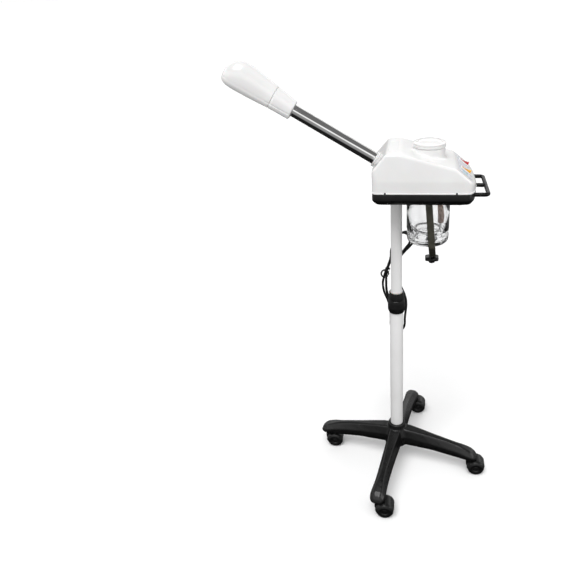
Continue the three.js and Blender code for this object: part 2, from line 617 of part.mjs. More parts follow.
// ---------------------------------------------------------------- mains lead
function mainsLead() {
  const gland = turned([
    [0, 792.3], [3.8, 792.3], [6, 822], [8.5, 824], [8.5, TRAY_BOTTOM - GAP], [6, TRAY_BOTTOM - GAP],
    [6, 842], [0, 842],
  ], 12).translate(GLAND.x, GLAND.y, 0);
  part('cord_gland', gland, BLACK);
  part('cord_lead', tube(LEAD_ROUTE, CORD_RADIUS, 8, 8), RUBBER);
  part('cord_coil', prismAlongX([...HANK_OUTLINE].reverse(), HANK_X0, HANK_X1), RUBBER);
  part('cord_tail', tube(TAIL_ROUTE, CORD_RADIUS, 8, 3), RUBBER);
  const body = loft([
    [5, 5, PLUG_TOP], [6.5, 6.5, PLUG_TOP - 15.7], [13, 9, PLUG_TOP - 27.7], [13, 9, PLUG_TOP - 47.7],
  ].map(([w, d, z]) => roundedRect(2 * w, 2 * d, d * 0.6, 3)
    .map(([u, v]) => new THREE.Vector3(PLUG.x + v, PLUG.y + u, z))).reverse().map((ring) => ring.reverse()));
  const pinTop = PLUG_TOP - 46.7;
  const blade = (y) => box(-3.5, 3.5, y - 0.8, y + 0.8, pinTop - 18, pinTop).translate(PLUG.x, PLUG.y, 0);
  const earth = rod(2.4, pinTop - 21, pinTop, 8).translate(PLUG.x, PLUG.y, 0);
  part('power_plug', join(body, blade(-6.35), blade(6.35), earth), BLACK);
}

column();
castors();
casings();
panel();
boom();
generator();
clamp();
mainsLead();

const steamer = new THREE.Group();
steamer.add(machine);

export default steamer;
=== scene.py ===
import json
import math

import bmesh
import bpy
from mathutils import Matrix, Vector


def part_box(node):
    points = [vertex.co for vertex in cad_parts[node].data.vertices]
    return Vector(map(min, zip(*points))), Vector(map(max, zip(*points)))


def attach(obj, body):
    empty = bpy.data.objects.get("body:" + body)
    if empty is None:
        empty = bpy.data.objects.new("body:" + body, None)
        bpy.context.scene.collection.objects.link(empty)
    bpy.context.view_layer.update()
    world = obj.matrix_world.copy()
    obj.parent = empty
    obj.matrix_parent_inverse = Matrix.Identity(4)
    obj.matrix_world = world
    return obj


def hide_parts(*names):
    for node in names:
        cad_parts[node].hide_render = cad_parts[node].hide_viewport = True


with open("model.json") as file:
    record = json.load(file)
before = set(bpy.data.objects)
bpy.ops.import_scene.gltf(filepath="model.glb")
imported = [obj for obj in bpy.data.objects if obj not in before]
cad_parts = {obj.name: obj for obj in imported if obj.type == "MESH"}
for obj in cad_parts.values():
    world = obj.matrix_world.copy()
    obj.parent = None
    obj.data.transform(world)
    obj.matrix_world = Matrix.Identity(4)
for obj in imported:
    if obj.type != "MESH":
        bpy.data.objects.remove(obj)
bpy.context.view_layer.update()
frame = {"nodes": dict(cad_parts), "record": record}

# Facial steamer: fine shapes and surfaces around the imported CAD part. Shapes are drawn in
# millimetres from the column's axis (x right, y towards the boom, z up from the floor), as in the
# CAD source. in_frame() turns them into the frame's metres.

MM = 0.001
NODES = frame["nodes"]


def middle(node):
    """The middle of a CAD node's box, in metres."""
    low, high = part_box(node)
    return (low + high) / 2


COLUMN = Vector((0.0, middle("lower_tube").y, 0.0))


def in_frame(point):
    return Vector(point) * MM + COLUMN


# -------------------- driving dimensions
ARMS = 4
ARM_REACH = 214
BASE_TURN = -11.5  # degrees the base is turned about the column
HUB_TOP = 135
LOWER_TUBE_RADIUS = 17.5
UPPER_TUBE_RADIUS = 14
ARM_TIP_TOP = 77
WHEEL_RADIUS = 23.5
CASTOR_TRAIL = 19  # from a castor's stem to its axle

TRAY_BOTTOM = 831
TRAY_TOP = 858
HEAD_HALF_WIDTH = 86
HEAD_REAR = 52
HEAD_NOSE = -184
JAR_Y = -76
STRAP_HALF_WIDTH = 58  # inside the jar's strap
CLAMP_Y = -88
KNOB_RADIUS = 17
KNOB_LOBES = 6
KNOB_LOBE_HEIGHT = 1.6
HEATER_RADIUS = 31.5
HEATER_LEVEL = 740
PANEL_TOP = (-135, 913)
PANEL_FOOT = (-178.5, 876)
PANEL_SLOPE = math.atan2(PANEL_TOP[1] - PANEL_FOOT[1], PANEL_TOP[0] - PANEL_FOOT[0])
COVER_REAR = (21, 945.5)
COVER_CREST = (-12, 946)
BOSS_RADIUS = 36
BOSS_TOP = 945.8
PANEL_HALF_WIDTH = 63.5
PANEL_HALF_HEIGHT = 18
SWITCH_X = 33
SWITCH_FROM_TOP = 27  # down the panel's slope
ROCKER_TILT = 8  # degrees either way; switched off, the lower end stands proud
ROCKER_HALF_LENGTH = 10.8
BOOM_START = Vector((0, 50.4, 917.3))
BOOM_TILT = 31.4  # degrees above the horizon
BOOM_RADIUS = 14
HANDLE_HALF_WIDTH = 68
HANDLE_REACH = -207
HANDLE_LEVEL = 852.8
HANDLE_BAR_RADIUS = 4.7
CORD_RADIUS = 0.003  # metres

def add_object(name, data):
    made = bpy.data.objects.new(name, data)
    bpy.context.scene.collection.objects.link(made)
    return made


# -------------------- camera
CAMERA_AT = COLUMN + Vector((-1.27605, -0.04958, 1.27233))
CAMERA_HEADING = 6.8  # degrees from +X towards +Y
CAMERA_PITCH = 25.89  # degrees below the horizon
CAMERA_ROLL = -2.1
CAMERA_LENS = 34.9
CAMERA_SHIFT = (-0.1138, -0.0483)


def make_camera():
    heading, pitch, roll = (math.radians(a) for a in (CAMERA_HEADING, CAMERA_PITCH, CAMERA_ROLL))
    ahead = Vector((math.cos(heading), math.sin(heading), 0))
    forward = ahead * math.cos(pitch) - Vector((0, 0, math.sin(pitch)))
    level = Vector((math.sin(heading), -math.cos(heading), 0))
    above = level.cross(forward)
    right = level * math.cos(roll) + above * math.sin(roll)
    up = above * math.cos(roll) - level * math.sin(roll)
    data = bpy.data.cameras.new("camera")
    data.sensor_width = 36
    data.lens = CAMERA_LENS
    data.shift_x, data.shift_y = CAMERA_SHIFT
    camera = add_object("camera", data)
    turn = Matrix((right, up, -forward)).transposed()
    camera.matrix_world = Matrix.Translation(CAMERA_AT) @ turn.to_4x4()
    bpy.context.scene.camera = camera


# -------------------- materials
FINISHES = {}  # every material by name; each material slot of the part has one of its own name


def set_inputs(node, values):
    """Sets a node's inputs by name: coat_weight is the input called Coat Weight."""
    for name, value in values.items():
        node.inputs[name.replace("_", " ").title().replace("Ior", "IOR")].default_value = value
    return node


def add_node(tree, kind, **values):
    return set_inputs(tree.nodes.new("ShaderNode" + kind), values)


def material(name, tones, roughness, patch, grain, stretch=(1, 1, 1), turn=(0, 0, 0), **sockets):
    """A surface whose colour drifts between two tones and whose roughness drifts between two values.

    patch is the colour patches' frequency per metre. grain is a list of (frequency, depth in metres)
    of the relief. stretch and turn draw the noise out into streaks. sockets are the shader's own values.
    """
    made = bpy.data.materials.new(name)
    made.use_nodes = True
    tree = made.node_tree
    link = tree.links.new
    shader = set_inputs(tree.nodes["Principled BSDF"], sockets)
    place = add_node(tree, "TexCoord")
    mapping = add_node(tree, "Mapping", scale=stretch, rotation=turn)
    link(place.outputs["Object"], mapping.inputs["Vector"])

    def noise(frequency, detail):
        node = add_node(tree, "TexNoise", scale=frequency, detail=detail)
        link(mapping.outputs["Vector"], node.inputs["Vector"])
        return node

    ramp = add_node(tree, "ValToRGB")
    for element, where, tone in zip(ramp.color_ramp.elements, (0.36, 0.64), tones):
        element.position = where
        element.color = (*tone, 1)
    link(noise(patch, 4).outputs["Fac"], ramp.inputs["Fac"])
    link(ramp.outputs["Color"], shader.inputs["Base Color"])

    low, high = roughness
    spread = add_node(tree, "MapRange", from_min=0.3, from_max=0.7, to_min=low, to_max=high)
    link(noise(patch * 2.7, 6).outputs["Fac"], spread.inputs["Value"])
    link(spread.outputs["Result"], shader.inputs["Roughness"])

    relief = None
    for frequency, depth in grain:
        bump = add_node(tree, "Bump", distance=depth)
        link(noise(frequency, 3).outputs["Fac"], bump.inputs["Height"])
        if relief:
            link(relief.outputs["Normal"], bump.inputs["Normal"])
        relief = bump
    link(relief.outputs["Normal"], shader.inputs["Normal"])
    FINISHES[name] = made
    return made


def grey(value, warm=0.0):
    return (value * (1 + warm), value, value * (1 - warm))


ALONG_BOOM = (math.radians(BOOM_TILT), 0, 0)
material("white_plastic", (grey(0.80, 0.006), grey(0.84, 0.003)), (0.16, 0.26), 14,
         [(260, 0.00005), (1900, 0.00001)], coat_weight=0.35, coat_roughness=0.08, subsurface_weight=0.04,
         subsurface_scale=0.004)
material("black_plastic", (grey(0.0025), grey(0.005)), (0.24, 0.42), 40, [(420, 0.00005), (2600, 0.00002)],
         specular_ior_level=0.3, coat_weight=0.12, coat_roughness=0.16)
material("white_paint", (grey(0.77, 0.006), grey(0.82, 0.002)), (0.3, 0.42), 11,
         [(900, 0.00004), (120, 0.00006)], coat_weight=0.1, coat_roughness=0.3)
material("black_paint", (grey(0.0025), grey(0.005)), (0.2, 0.32), 60, [(700, 0.00004)],
         specular_ior_level=0.14)
material("strap_paint", ((0.047, 0.045, 0.032), (0.068, 0.065, 0.048)), (0.34, 0.55), 90,
         [(500, 0.0001), (2400, 0.00004)], metallic=0.35)
material("chrome", (grey(0.50, 0.01), grey(0.58)), (0.05, 0.13), 60, [(800, 0.000004)],
         (1, 0.04, 1), ALONG_BOOM, metallic=1.0)
material("steel", (grey(0.42, 0.01), grey(0.55)), (0.2, 0.36), 80, [(1500, 0.00002)], (1, 1, 0.1),
         metallic=1.0)
material("sheath_steel", ((0.16, 0.10, 0.075), (0.25, 0.17, 0.13)), (0.3, 0.5), 70, [(900, 0.00004)],
         metallic=0.6)
material("nylon", (grey(0.62, 0.02), grey(0.7, 0.03)), (0.42, 0.55), 50, [(1200, 0.00003)],
         subsurface_weight=0.15, subsurface_scale=0.003)
material("silicone", (grey(0.42, 0.04), grey(0.52, 0.05)), (0.5, 0.65), 60, [(1500, 0.00002)],
         subsurface_weight=0.2, subsurface_scale=0.003)
material("rubber", (grey(0.008), grey(0.018)), (0.5, 0.7), 120, [(1800, 0.00005)])
material("wheel_black", (grey(0.0025), grey(0.006)), (0.3, 0.5), 150, [(1100, 0.00006)],
         specular_ior_level=0.35)
material("cord_pvc", (grey(0.003), grey(0.006)), (0.34, 0.48), 90, [(2200, 0.00003)],
         specular_ior_level=0.35)
material("panel_blue", ((0.60, 0.62, 0.67), (0.65, 0.67, 0.72)), (0.32, 0.42), 40, [(2600, 0.00001)],
         coat_weight=0.15)
material("print_teal", ((0.30, 0.51, 0.60), (0.35, 0.56, 0.65)), (0.34, 0.44), 200, [(2600, 0.00001)])
material("print_white", (grey(0.66), grey(0.74)), (0.34, 0.44), 200, [(2600, 0.00001)])
material("amber_plastic", ((0.80, 0.36, 0.010), (0.88, 0.46, 0.014)), (0.14, 0.24), 120,
         [(1600, 0.00001)], coat_weight=0.6, subsurface_weight=0.25, subsurface_scale=0.003)
material("red_plastic", ((0.48, 0.006, 0.008), (0.60, 0.010, 0.012)), (0.14, 0.24), 120,
         [(1600, 0.00001)], coat_weight=0.6, subsurface_weight=0.2, subsurface_scale=0.003)
material("jar_glass", (grey(0.87, -0.004), grey(0.90, -0.002)), (0.0, 0.02), 25, [(70, 0.00012)],
         transmission_weight=1.0, ior=1.47)
material("lamp_glass", (grey(0.93, -0.01), grey(0.96, -0.005)), (0.0, 0.03), 60, [(200, 0.00005)],
         transmission_weight=1.0, ior=1.46)


# -------------------- shapes as (points, faces)
def rounded(corners, radius=0.0, steps=4, closed=True):
    """The outline with each corner rounded. A corner's third value is a radius of its own."""
    result = []
    count = len(corners)
    for i, corner in enumerate(corners):
        at = Vector(corner[:2])
        wanted = corner[2] if len(corner) > 2 else radius
        if wanted == 0 or (not closed and i in (0, count - 1)):
            result.append(tuple(at))
            continue
        back = Vector(corners[i - 1][:2]) - at
        on = Vector(corners[(i + 1) % count][:2]) - at
        half = back.angle(on) / 2
        reach = min(wanted / math.tan(half), back.length * 0.48, on.length * 0.48)
        start = at + back.normalized() * reach
        end = at + on.normalized() * reach
        for k in range(steps + 1):
            t = k / steps
            result.append(tuple(start * (1 - t) ** 2 + at * 2 * t * (1 - t) + end * t ** 2))
    return result


def skin(rings, joined_ends=False):
    """A surface over rings of points. A ring of one point is a pole."""
    points, faces, index = [], [], []
    for ring in rings:
        index.append(range(len(points), len(points) + len(ring)))
        points.extend(ring)
    pairs = list(zip(index, index[1:]))
    if joined_ends:
        pairs.append((index[-1], index[0]))
    for a, b in pairs:
        count = max(len(a), len(b))
        for i in range(count):
            j = (i + 1) % count
            if len(a) == 1:
                faces.append((a[0], b[j], b[i]))
            elif len(b) == 1:
                faces.append((a[i], a[j], b[0]))
            else:
                faces.append((a[i], a[j], b[j], b[i]))
    if not joined_ends:
        for ring, step in ((index[0], -1), (index[-1], 1)):
            if len(ring) > 2:
                faces.append(tuple(ring)[::step])
    return points, faces


def level_ring(radius_at, z, sides):
    """Points round Z at one height, with a radius for each angle."""
    turns = [2 * math.pi * i / sides for i in range(sides)]
    return [Vector((radius_at(a) * math.cos(a), radius_at(a) * math.sin(a), z)) for a in turns]


def circle(radius, z, sides):
    return level_ring(lambda angle: radius, z, sides)


def turned(profile, radius, sides, steps=3):
    """Turns (radius, z) points about Z. The profile starts and ends on the axis, or closes on itself."""
    on_axis = profile[0][0] == 0
    line = rounded(profile, radius, steps, closed=not on_axis)
    rings = [[Vector((0, 0, z))] if r < 1e-6 else circle(r, z, sides) for r, z in line]
    return skin(rings, joined_ends=not on_axis)


def pipe(outer, inner, low, high, edge, sides, steps=3):
    return turned([(inner, low), (outer, low), (outer, high), (inner, high)], edge, sides, steps)


def rod(radius, low, high, edge, sides, steps=3):
    return pipe(radius, 0, low, high, edge, sides, steps)


def pipe_room(radius, low, high, sides=72):
    """A sharp-edged rod to cut a hole with."""
    return rod(radius, low, high, 0.01, sides, 1)


def prism(outline, low, high):
    return skin([[Vector((x, y, z)) for x, y in outline] for z in (low, high)])


def outline_frame(inner, outer, low, high):
    """A flat frame between two outlines of as many points."""
    rings = [[Vector((x, y, z)) for x, y in outline]
             for outline, z in ((inner, low), (outer, low), (outer, high), (inner, high))]
    return skin(rings, joined_ends=True)


def rectangle(x, y):
    return [(x[0], y[0]), (x[1], y[0]), (x[1], y[1]), (x[0], y[1])]


def block(x, y, z):
    return prism(rectangle(x, y), *z)


def arc(centre, radius, start, end, steps):
    """Points of an arc in two dimensions, in degrees."""
    turns = [math.radians(start + (end - start) * k / steps) for k in range(steps + 1)]
    return [(centre[0] + radius * math.cos(a), centre[1] + radius * math.sin(a)) for a in turns]


def smooth_line(points, step=None, pieces=4):
    """A smooth line through the points, filled in about every step, or with so many pieces to a gap."""
    filled = []
    padded = [points[0] * 2 - points[1], *points, points[-1] * 2 - points[-2]]
    for a, b, c, d in zip(padded, padded[1:], padded[2:], padded[3:]):
        before, gap, after = (b - a).length, (c - b).length, (d - c).length
        leaving = c - b + ((b - a) / before - (c - a) / (before + gap)) * gap
        arriving = c - b + ((d - c) / after - (d - b) / (gap + after)) * gap
        count = max(2, math.ceil(gap / step)) if step else pieces
        for k in range(count):
            t = k / count
            filled.append(b * (2 * t ** 3 - 3 * t ** 2 + 1) + leaving * (t ** 3 - 2 * t ** 2 + t)
                          + c * (3 * t ** 2 - 2 * t ** 3) + arriving * (t ** 3 - t ** 2))
    return filled + [points[-1].copy()]


def sweep(line, radius, sides):
    """A round bar along a line, with slightly rounded ends."""
    tangents = [(b - a).normalized() for a, b in zip([line[0], *line[:-1]], [*line[1:], line[-1]])]
    side = tangents[0].orthogonal().normalized()
    rings = []
    for at, tangent in zip(line, tangents):
        side = (side - tangent * side.dot(tangent)).normalized()
        other = tangent.cross(side)
        turns = [2 * math.pi * i / sides for i in range(sides)]
        rings.append([at + (side * math.cos(a) + other * math.sin(a)) * radius for a in turns])

    def shrunk(ring, tangent, share, reach):
        centre = sum(ring, Vector()) / len(ring)
        return [centre + (p - centre) * share + tangent * reach for p in ring]

    edge = 0.2 * radius
    first = shrunk(rings[0], tangents[0], 0.8, -edge)
    last = shrunk(rings[-1], tangents[-1], 0.8, edge)
    return skin([first, *rings, last])


def moved(shape, matrix):
    return [matrix @ p for p in shape[0]], shape[1]


def shifted(shape, x=0.0, y=0.0, z=0.0):
    return moved(shape, Matrix.Translation((x, y, z)))


def together(*shapes):
    points, faces = [], []
    for shape_points, shape_faces in shapes:
        faces.extend(tuple(i + len(points) for i in face) for face in shape_faces)
        points.extend(shape_points)
    return points, faces


ALONG_X = Matrix.Rotation(math.radians(90), 4, "Y")
ALONG_Y = Matrix.Rotation(math.radians(-90), 4, "X")
# For a prism whose outline is in (y, z) with its depth along X, and one in (x, z) with its depth along -Y.
YZ_TO_X = Matrix(((0, 0, 1, 0), (1, 0, 0, 0), (0, 1, 0, 0), (0, 0, 0, 1)))
XZ_TO_Y = Matrix(((1, 0, 0, 0), (0, 0, -1, 0), (0, 1, 0, 0), (0, 0, 0, 1)))
ON_BOOM = Matrix.Translation(BOOM_START) @ Matrix.Rotation(-math.radians(90 - BOOM_TILT), 4, "X")


def on_panel(x):
    """The switch panel's surface at x, level with the switches, with +Y up the slope."""
    y = PANEL_TOP[0] - SWITCH_FROM_TOP * math.cos(PANEL_SLOPE)
    z = PANEL_TOP[1] - SWITCH_FROM_TOP * math.sin(PANEL_SLOPE)
    return Matrix.Translation((x, y, z)) @ Matrix.Rotation(PANEL_SLOPE, 4, "X")


# -------------------- objects
def bare_object(name, shape):
    points, faces = shape
    mesh = bpy.data.meshes.new(name)
    mesh.from_pydata([in_frame(p) for p in points], [], faces)
    work = bmesh.new()
    work.from_mesh(mesh)
    bmesh.ops.remove_doubles(work, verts=work.verts, dist=1e-6)
    bmesh.ops.recalc_face_normals(work, faces=work.faces)
    work.to_mesh(mesh)
    work.free()
    return add_object(name, mesh)


def modify(made, kind, **settings):
    modifier = made.modifiers.new(kind.lower(), kind)
    for key, value in settings.items():
        setattr(modifier, key, value)
    return modifier


def apply_modifiers(made):
    evaluated = made.evaluated_get(bpy.context.evaluated_depsgraph_get())
    mesh = bpy.data.meshes.new_from_object(evaluated)
    made.modifiers.clear()
    old = made.data
    made.data = mesh
    bpy.data.meshes.remove(old)


def use_up(made, tool, operation="DIFFERENCE"):
    """Cuts one object out of another, or joins it to that one, and deletes it."""
    modify(made, "BOOLEAN", operation=operation, solver="EXACT", object=tool)
    apply_modifiers(made)
    mesh = tool.data
    bpy.data.objects.remove(tool)
    bpy.data.meshes.remove(mesh)


def combine(made, shapes, operation="DIFFERENCE"):
    """Cuts the shapes out of an object, or joins them to it."""
    for shape in shapes:
        use_up(made, bare_object("tool", shape), operation)


def remesh(made, voxel, passes):
    """One even skin over all the shapes in an object, with its edges softened."""
    modify(made, "REMESH", mode="VOXEL", voxel_size=voxel * MM)
    modify(made, "SMOOTH", factor=0.5, iterations=passes)
    apply_modifiers(made)


def finish_piece(made, body, slot, nodes, bevel=0.0, sharp=35, finish=None):
    mesh = made.data
    mesh.materials.clear()
    mesh.materials.append(FINISHES[finish or slot])
    mesh.shade_smooth()
    mesh.set_sharp_from_angle(angle=math.radians(sharp))
    if bevel:
        modify(made, "BEVEL", width=bevel * MM, segments=3, limit_method="ANGLE",
               angle_limit=math.radians(sharp), harden_normals=True)
    if nodes:
        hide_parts(*nodes)
    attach(made, body)
    return made


def piece(name, shape, body, slot, nodes=(), bevel=0.0, sharp=35, finish=None):
    return finish_piece(bare_object(name, shape), body, slot, nodes, bevel, sharp, finish)


# -------------------- mains lead (metres)
GLAND = (0.038, 0.004)
PLUG = (0.060, 0.003)
PLUG_TOP = 0.3997
LEAD_ROUTE = [
    (0.038, 0.004, 0.792), (0.038, 0.004, 0.783), (0.038, 0.004, 0.774), (0.0382, 0.004, 0.764),
    (0.0388, 0.004, 0.753), (0.0398, 0.0038, 0.741), (0.0411, 0.0035, 0.728), (0.0425, 0.0033, 0.714),
    (0.0435, 0.0031, 0.701), (0.0439, 0.003, 0.691), (0.044, 0.003, 0.682),
]
TAIL_ROUTE = [
    (0.0575, 0.0175, 0.474), (0.0586, 0.0125, 0.452), (0.0595, 0.0075, 0.433), (0.060, 0.0042, 0.420),
    (0.060, 0.003, 0.409), (0.060, 0.003, 0.400),
]
# One turn of the hank in (y, z): down the side nearer the boom, round its foot, up the other side
# and over its top. TURN_FOOT and TURN_TOP are each a centre and a radius.
TURN_DOWN = [
    (0.0140, 0.668), (0.0168, 0.643), (0.0240, 0.618), (0.0333, 0.592), (0.0390, 0.565), (0.0350, 0.538),
    (0.0250, 0.512), (0.0188, 0.485), (0.0176, 0.458),
]
TURN_FOOT = ((-0.0015, 0.436), 0.0188)
TURN_UP = [
    (-0.0208, 0.456), (-0.0228, 0.478), (-0.0245, 0.500), (-0.0205, 0.525), (-0.0105, 0.550), (0.0, 0.575),
    (0.0055, 0.600), (0.0045, 0.620), (-0.001, 0.638), (-0.0085, 0.6545), (-0.0165, 0.669),
]
TURN_TOP = ((-0.006, 0.6895), 0.0203)
HANK_TURNS = 2
HANK_START_X = 0.044
HANK_STEP_X = 0.0063  # a turn lies this much further from the column than the one before
HANK_NARROWING = 0.1  # and hangs this share closer to the middle
HANK_BELLY = (0.16, 0.560, 0.045)  # closer still by this share, at this height, fading out this far off
HANK_FAN = (0.009, 0.62, 0.05)  # and leans so far towards the jar, from this height, over this rise
HANK_GATHERED = (0.5, 0.65)  # heights between which its side nearer the boom draws in


def hank_route():
    """The turns of the hank, then the last stretch down as far as the tail."""
    turn = [
        *TURN_DOWN,
        *arc(*TURN_FOOT, 0, -180, 8),
        *TURN_UP,
        *arc(*TURN_TOP, 210, 0, 9),
    ]
    points = []
    belly, belly_height, fade = HANK_BELLY
    lean, lean_foot, rise = HANK_FAN
    for k in range(HANK_TURNS * len(turn) + len(TURN_DOWN) - 2):
        share = k / len(turn)
        y, z = turn[k % len(turn)]
        if y > 0 and HANK_GATHERED[0] < z < HANK_GATHERED[1]:
            y *= 1 - min(share, 1) * (HANK_NARROWING + belly * max(0, 1 - abs(z - belly_height) / fade))
        y -= lean * share * min(1, max(0, (z - lean_foot) / rise))
        points.append((HANK_START_X + HANK_STEP_X * share, y, z))
    return points


def make_cord():
    points = [Vector(p) + COLUMN for p in [*LEAD_ROUTE, *hank_route(), *TAIL_ROUTE]]
    line = smooth_line(points, 0.003)
    curve = bpy.data.curves.new("mains_lead", "CURVE")
    curve.dimensions = "3D"
    curve.bevel_depth = CORD_RADIUS
    curve.bevel_resolution = 4
    curve.use_fill_caps = True
    spline = curve.splines.new("POLY")
    spline.points.add(len(line) - 1)
    for point, at in zip(spline.points, line):
        point.co = (*at, 1)
    spline.use_smooth = True
    made = add_object("mains_lead", curve)
    curve.materials.append(FINISHES["cord_pvc"])
    length = sum((b - a).length for a, b in zip(line, line[1:]))
    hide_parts("cord_lead", "cord_coil", "cord_tail")
    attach(made, "head")
    return made, length


def make_gland():
    """Strain relief: a tapered boot with ribs under a threaded nut."""
    profile = [(0, 792.3), (3.9, 792.3)]
    ribs = 7
    for k in range(ribs):
        z = 794.5 + 3.6 * k
        radius = 4.0 + 0.3 * k
        profile += [(radius, z), (radius + 0.55, z + 0.6), (radius + 0.55, z + 2.2)]
        profile.append((radius + 0.15, z + 2.8))
    profile += [(6.2, 821.5), (6.6, 824), (8.5, 824.3), (8.5, 830.7), (6, 830.7), (6, 842), (0, 842)]
    boot = shifted(turned(profile, 0.25, 36, 2), GLAND[0] / MM, GLAND[1] / MM)
    return piece("strain_relief", boot, "head", "rubber", ["cord_gland"])


def make_plug():
    """A moulded three-pin plug, hanging pins down, with a ribbed grip and a tapered boot."""
    x0, y0, top = PLUG[0] / MM, PLUG[1] / MM, PLUG_TOP / MM
    # half width across the pins, half depth, distance below the plug's top
    rows = [(2.9, 2.9, 0), (4.6, 4.6, 3.7), (5.0, 5.0, 11.7), (6.2, 6.0, 15.7), (9.5, 7.5, 21.7),
            (12.6, 8.6, 26.7)]
    for k in range(3):
        rib = 28.5 + 7.2 * k
        rows += [(13, 9, rib), (13, 9, rib + 3.2), (12.2, 8.4, rib + 4.4), (12.2, 8.4, rib + 6.0)]
    rows.append((12.2, 8.2, 47.7))
    rings = []
    for across, deep, below in rows:
        outline = rounded(rectangle((-deep, deep), (-across, across)), deep * 0.62, 5)
        rings.append([Vector((x0 + x, y0 + y, top - below)) for x, y in outline])
    plug = piece("plug_body", skin(rings), "head", "cord_pvc", ["power_plug"], sharp=50)
    pin_top = top - 46.7
    pin_spacing = 6.35
    pins = [block((x0 - 3.5, x0 + 3.5), (y0 + y - 0.8, y0 + y + 0.8), (pin_top - 18, pin_top))
            for y in (-pin_spacing, pin_spacing)]
    earth = turned([(0, pin_top - 21), (2.4, pin_top - 21, 1.6), (2.4, pin_top), (0, pin_top)], 0.2, 24)
    earth = shifted(earth, x0, y0)
    contacts = piece("plug_pins", together(*pins, earth), "head", "steel", bevel=0.3)
    return plug, contacts


def make_tie():
    """A band round the hank's strands and the open loop of its loose end."""
    middle_of_strands = Matrix.Translation((50.5, 27.6, 603)) @ Matrix.Rotation(math.radians(18), 4, "X")
    outer = rounded([(-10.8, -6.6), (10.8, -8.6), (10.8, 3.4), (-10.8, 6.4)], 3.8, 5)
    inner = rounded([(-10.0, -5.8), (10.0, -7.8), (10.0, 2.6), (-10.0, 5.6)], 3.2, 5)
    band = moved(outline_frame(inner, outer, -3, 3), middle_of_strands)
    tie = piece("cord_tie", band, "head", "cord_pvc", bevel=0.2)
    round_loop = arc((32.0, 597.5), 9.5, 200, -145, 23)
    loop = [Vector((38.5 + 2 * math.sin(math.radians(a)), y, z))
            for a, (y, z) in zip(range(0, 360, 15), round_loop)]
    wire_radius = 2.1
    loose_end = piece("cord_tie_end", sweep(smooth_line(loop, 1.5), wire_radius, 16), "head", "cord_pvc")
    return tie, loose_end


def mains_lead():
    lead, length = make_cord()
    gland = make_gland()
    plug, pins = make_plug()
    tie, loose_end = make_tie()


make_camera()
mains_lead()

# -------------------- base, castors and tubes
def arm_section(s, half_width, low, high, strip):
    """A section across an arm at s from the column: flat foot, bulging sides, a strip along its top."""
    rise = high - low
    right = [(0.8 * half_width, low), (half_width, low + 0.25 * rise), (0.97 * half_width, low + 0.55 * rise),
             (strip + 0.25 * (half_width - strip), high - 0.06 * rise), (strip, high)]
    left = [(-x, z) for x, z in reversed(right)]
    return [Vector((s, x, z)) for x, z in [*right, *left]]


def arm():
    # distance along the arm, half width, lowest, highest, half width of the strip on top
    top = ARM_TIP_TOP
    rows = [(6, 23, 68, 121, 13), (40, 21, 66, 118, 12.5), (75, 19.5, 64, 112.5, 9.5),
            (110, 18.6, 62.5, 106, 6.5), (150, 17.8, 56.5, 98.5, 4.5), (175, 18, 53.5, 92.5, 5),
            (192, 19.2, 52.5, 88, 7), (205, 20.6, 52, top + 6, 8.5), (216, 20.8, 52, top + 1.5, 8.5),
            (225, 19, 52, top - 4.5, 7), (231, 14.5, 52.6, top - 11, 5), (234.3, 8.5, 54, top - 18, 2.5)]
    return skin([arm_section(*row) for row in rows])


def make_base():
    hub = [(0, 64), (36, 66, 4), (35, 98, 6), (25.5, 119, 8), (23.5, HUB_TOP, 1.5), (0, HUB_TOP)]
    base = bare_object("base_arms", turned(hub, 1, 96))
    combine(base, [moved(arm(), Matrix.Rotation(arm_angle(k), 4, "Z")) for k in range(ARMS)], "UNION")
    remesh(base, 1.7, 7)
    stem_room = pipe_room(4.9, 40, ARM_TIP_TOP - 5, 24)
    stem_rooms = [shifted(stem_room, *castor_place(k)) for k in range(ARMS)]
    combine(base, [together(pipe_room(17.9, 66, HUB_TOP + 5), *stem_rooms)])
    finish_piece(base, "base", "black_plastic", ["base_star"], sharp=60)


def arm_angle(k):
    return math.radians(BASE_TURN - 90 + 360 / ARMS * k)


def castor_place(k):
    return ARM_REACH * math.cos(arm_angle(k)), ARM_REACH * math.sin(arm_angle(k))


def castor_hood(place):
    """A dome over both wheels, cut off a little above the axle, with the web and boss that carry it."""
    centre = Matrix.Translation((0, -CASTOR_TRAIL, WHEEL_RADIUS))
    half = [(12, 22.9), (18.5, 22.6), (23.6, 19.6), (25.8, 14)]
    outer = [*half, *[(r, -x) for r, x in reversed(half)]]
    inner = [(r - 1.3, x - 1.3 * math.copysign(1, x)) for r, x in reversed(outer)]
    dome = moved(turned([*outer, *inner], 1.5, 64, 3), centre @ ALONG_X)
    hood = bare_object("castor_hood", dome)
    tilt = Matrix.Rotation(math.radians(-8), 4, "X")
    combine(hood, [moved(block((-30, 30), (-40, 40), (-40, 4)), centre @ tilt)])
    web_outline = [*arc((-CASTOR_TRAIL, WHEEL_RADIUS), 21, 105, 330, 18), (8.5, 27), (8.5, 45), (-16, 45)]
    web = moved(prism(web_outline, -5.9, 5.9), YZ_TO_X)
    combine(hood, [web, turned([(0, 40), (9, 40), (9, 50, 1), (0, 50)], 0.5, 40)], "UNION")
    axle_room = moved(pipe_room(3.4, -12, 12, 24), centre @ ALONG_X)
    combine(hood, [together(axle_room, pipe_room(4.9, 31, 60, 24))])
    hood.data.transform(Matrix.Translation(Vector(place) * MM))
    return hood


def castor_wheel(side):
    rim = [(0, 18.9), (6.4, 19.2), (7.4, 18.1), (8.6, 18.1), (9.6, 19.5), (15, 20.3), (20.5, 18.6),
           (23.1, 15), (23.5, 11), (23.2, 8), (22, 6.5), (3.4, 6.5), (3.4, 17.7), (0, 17.7)]
    wheel = turned(rim, 0.8, 72, 3)
    return moved(wheel, ALONG_X if side > 0 else ALONG_X @ Matrix.Rotation(math.pi, 4, "X"))


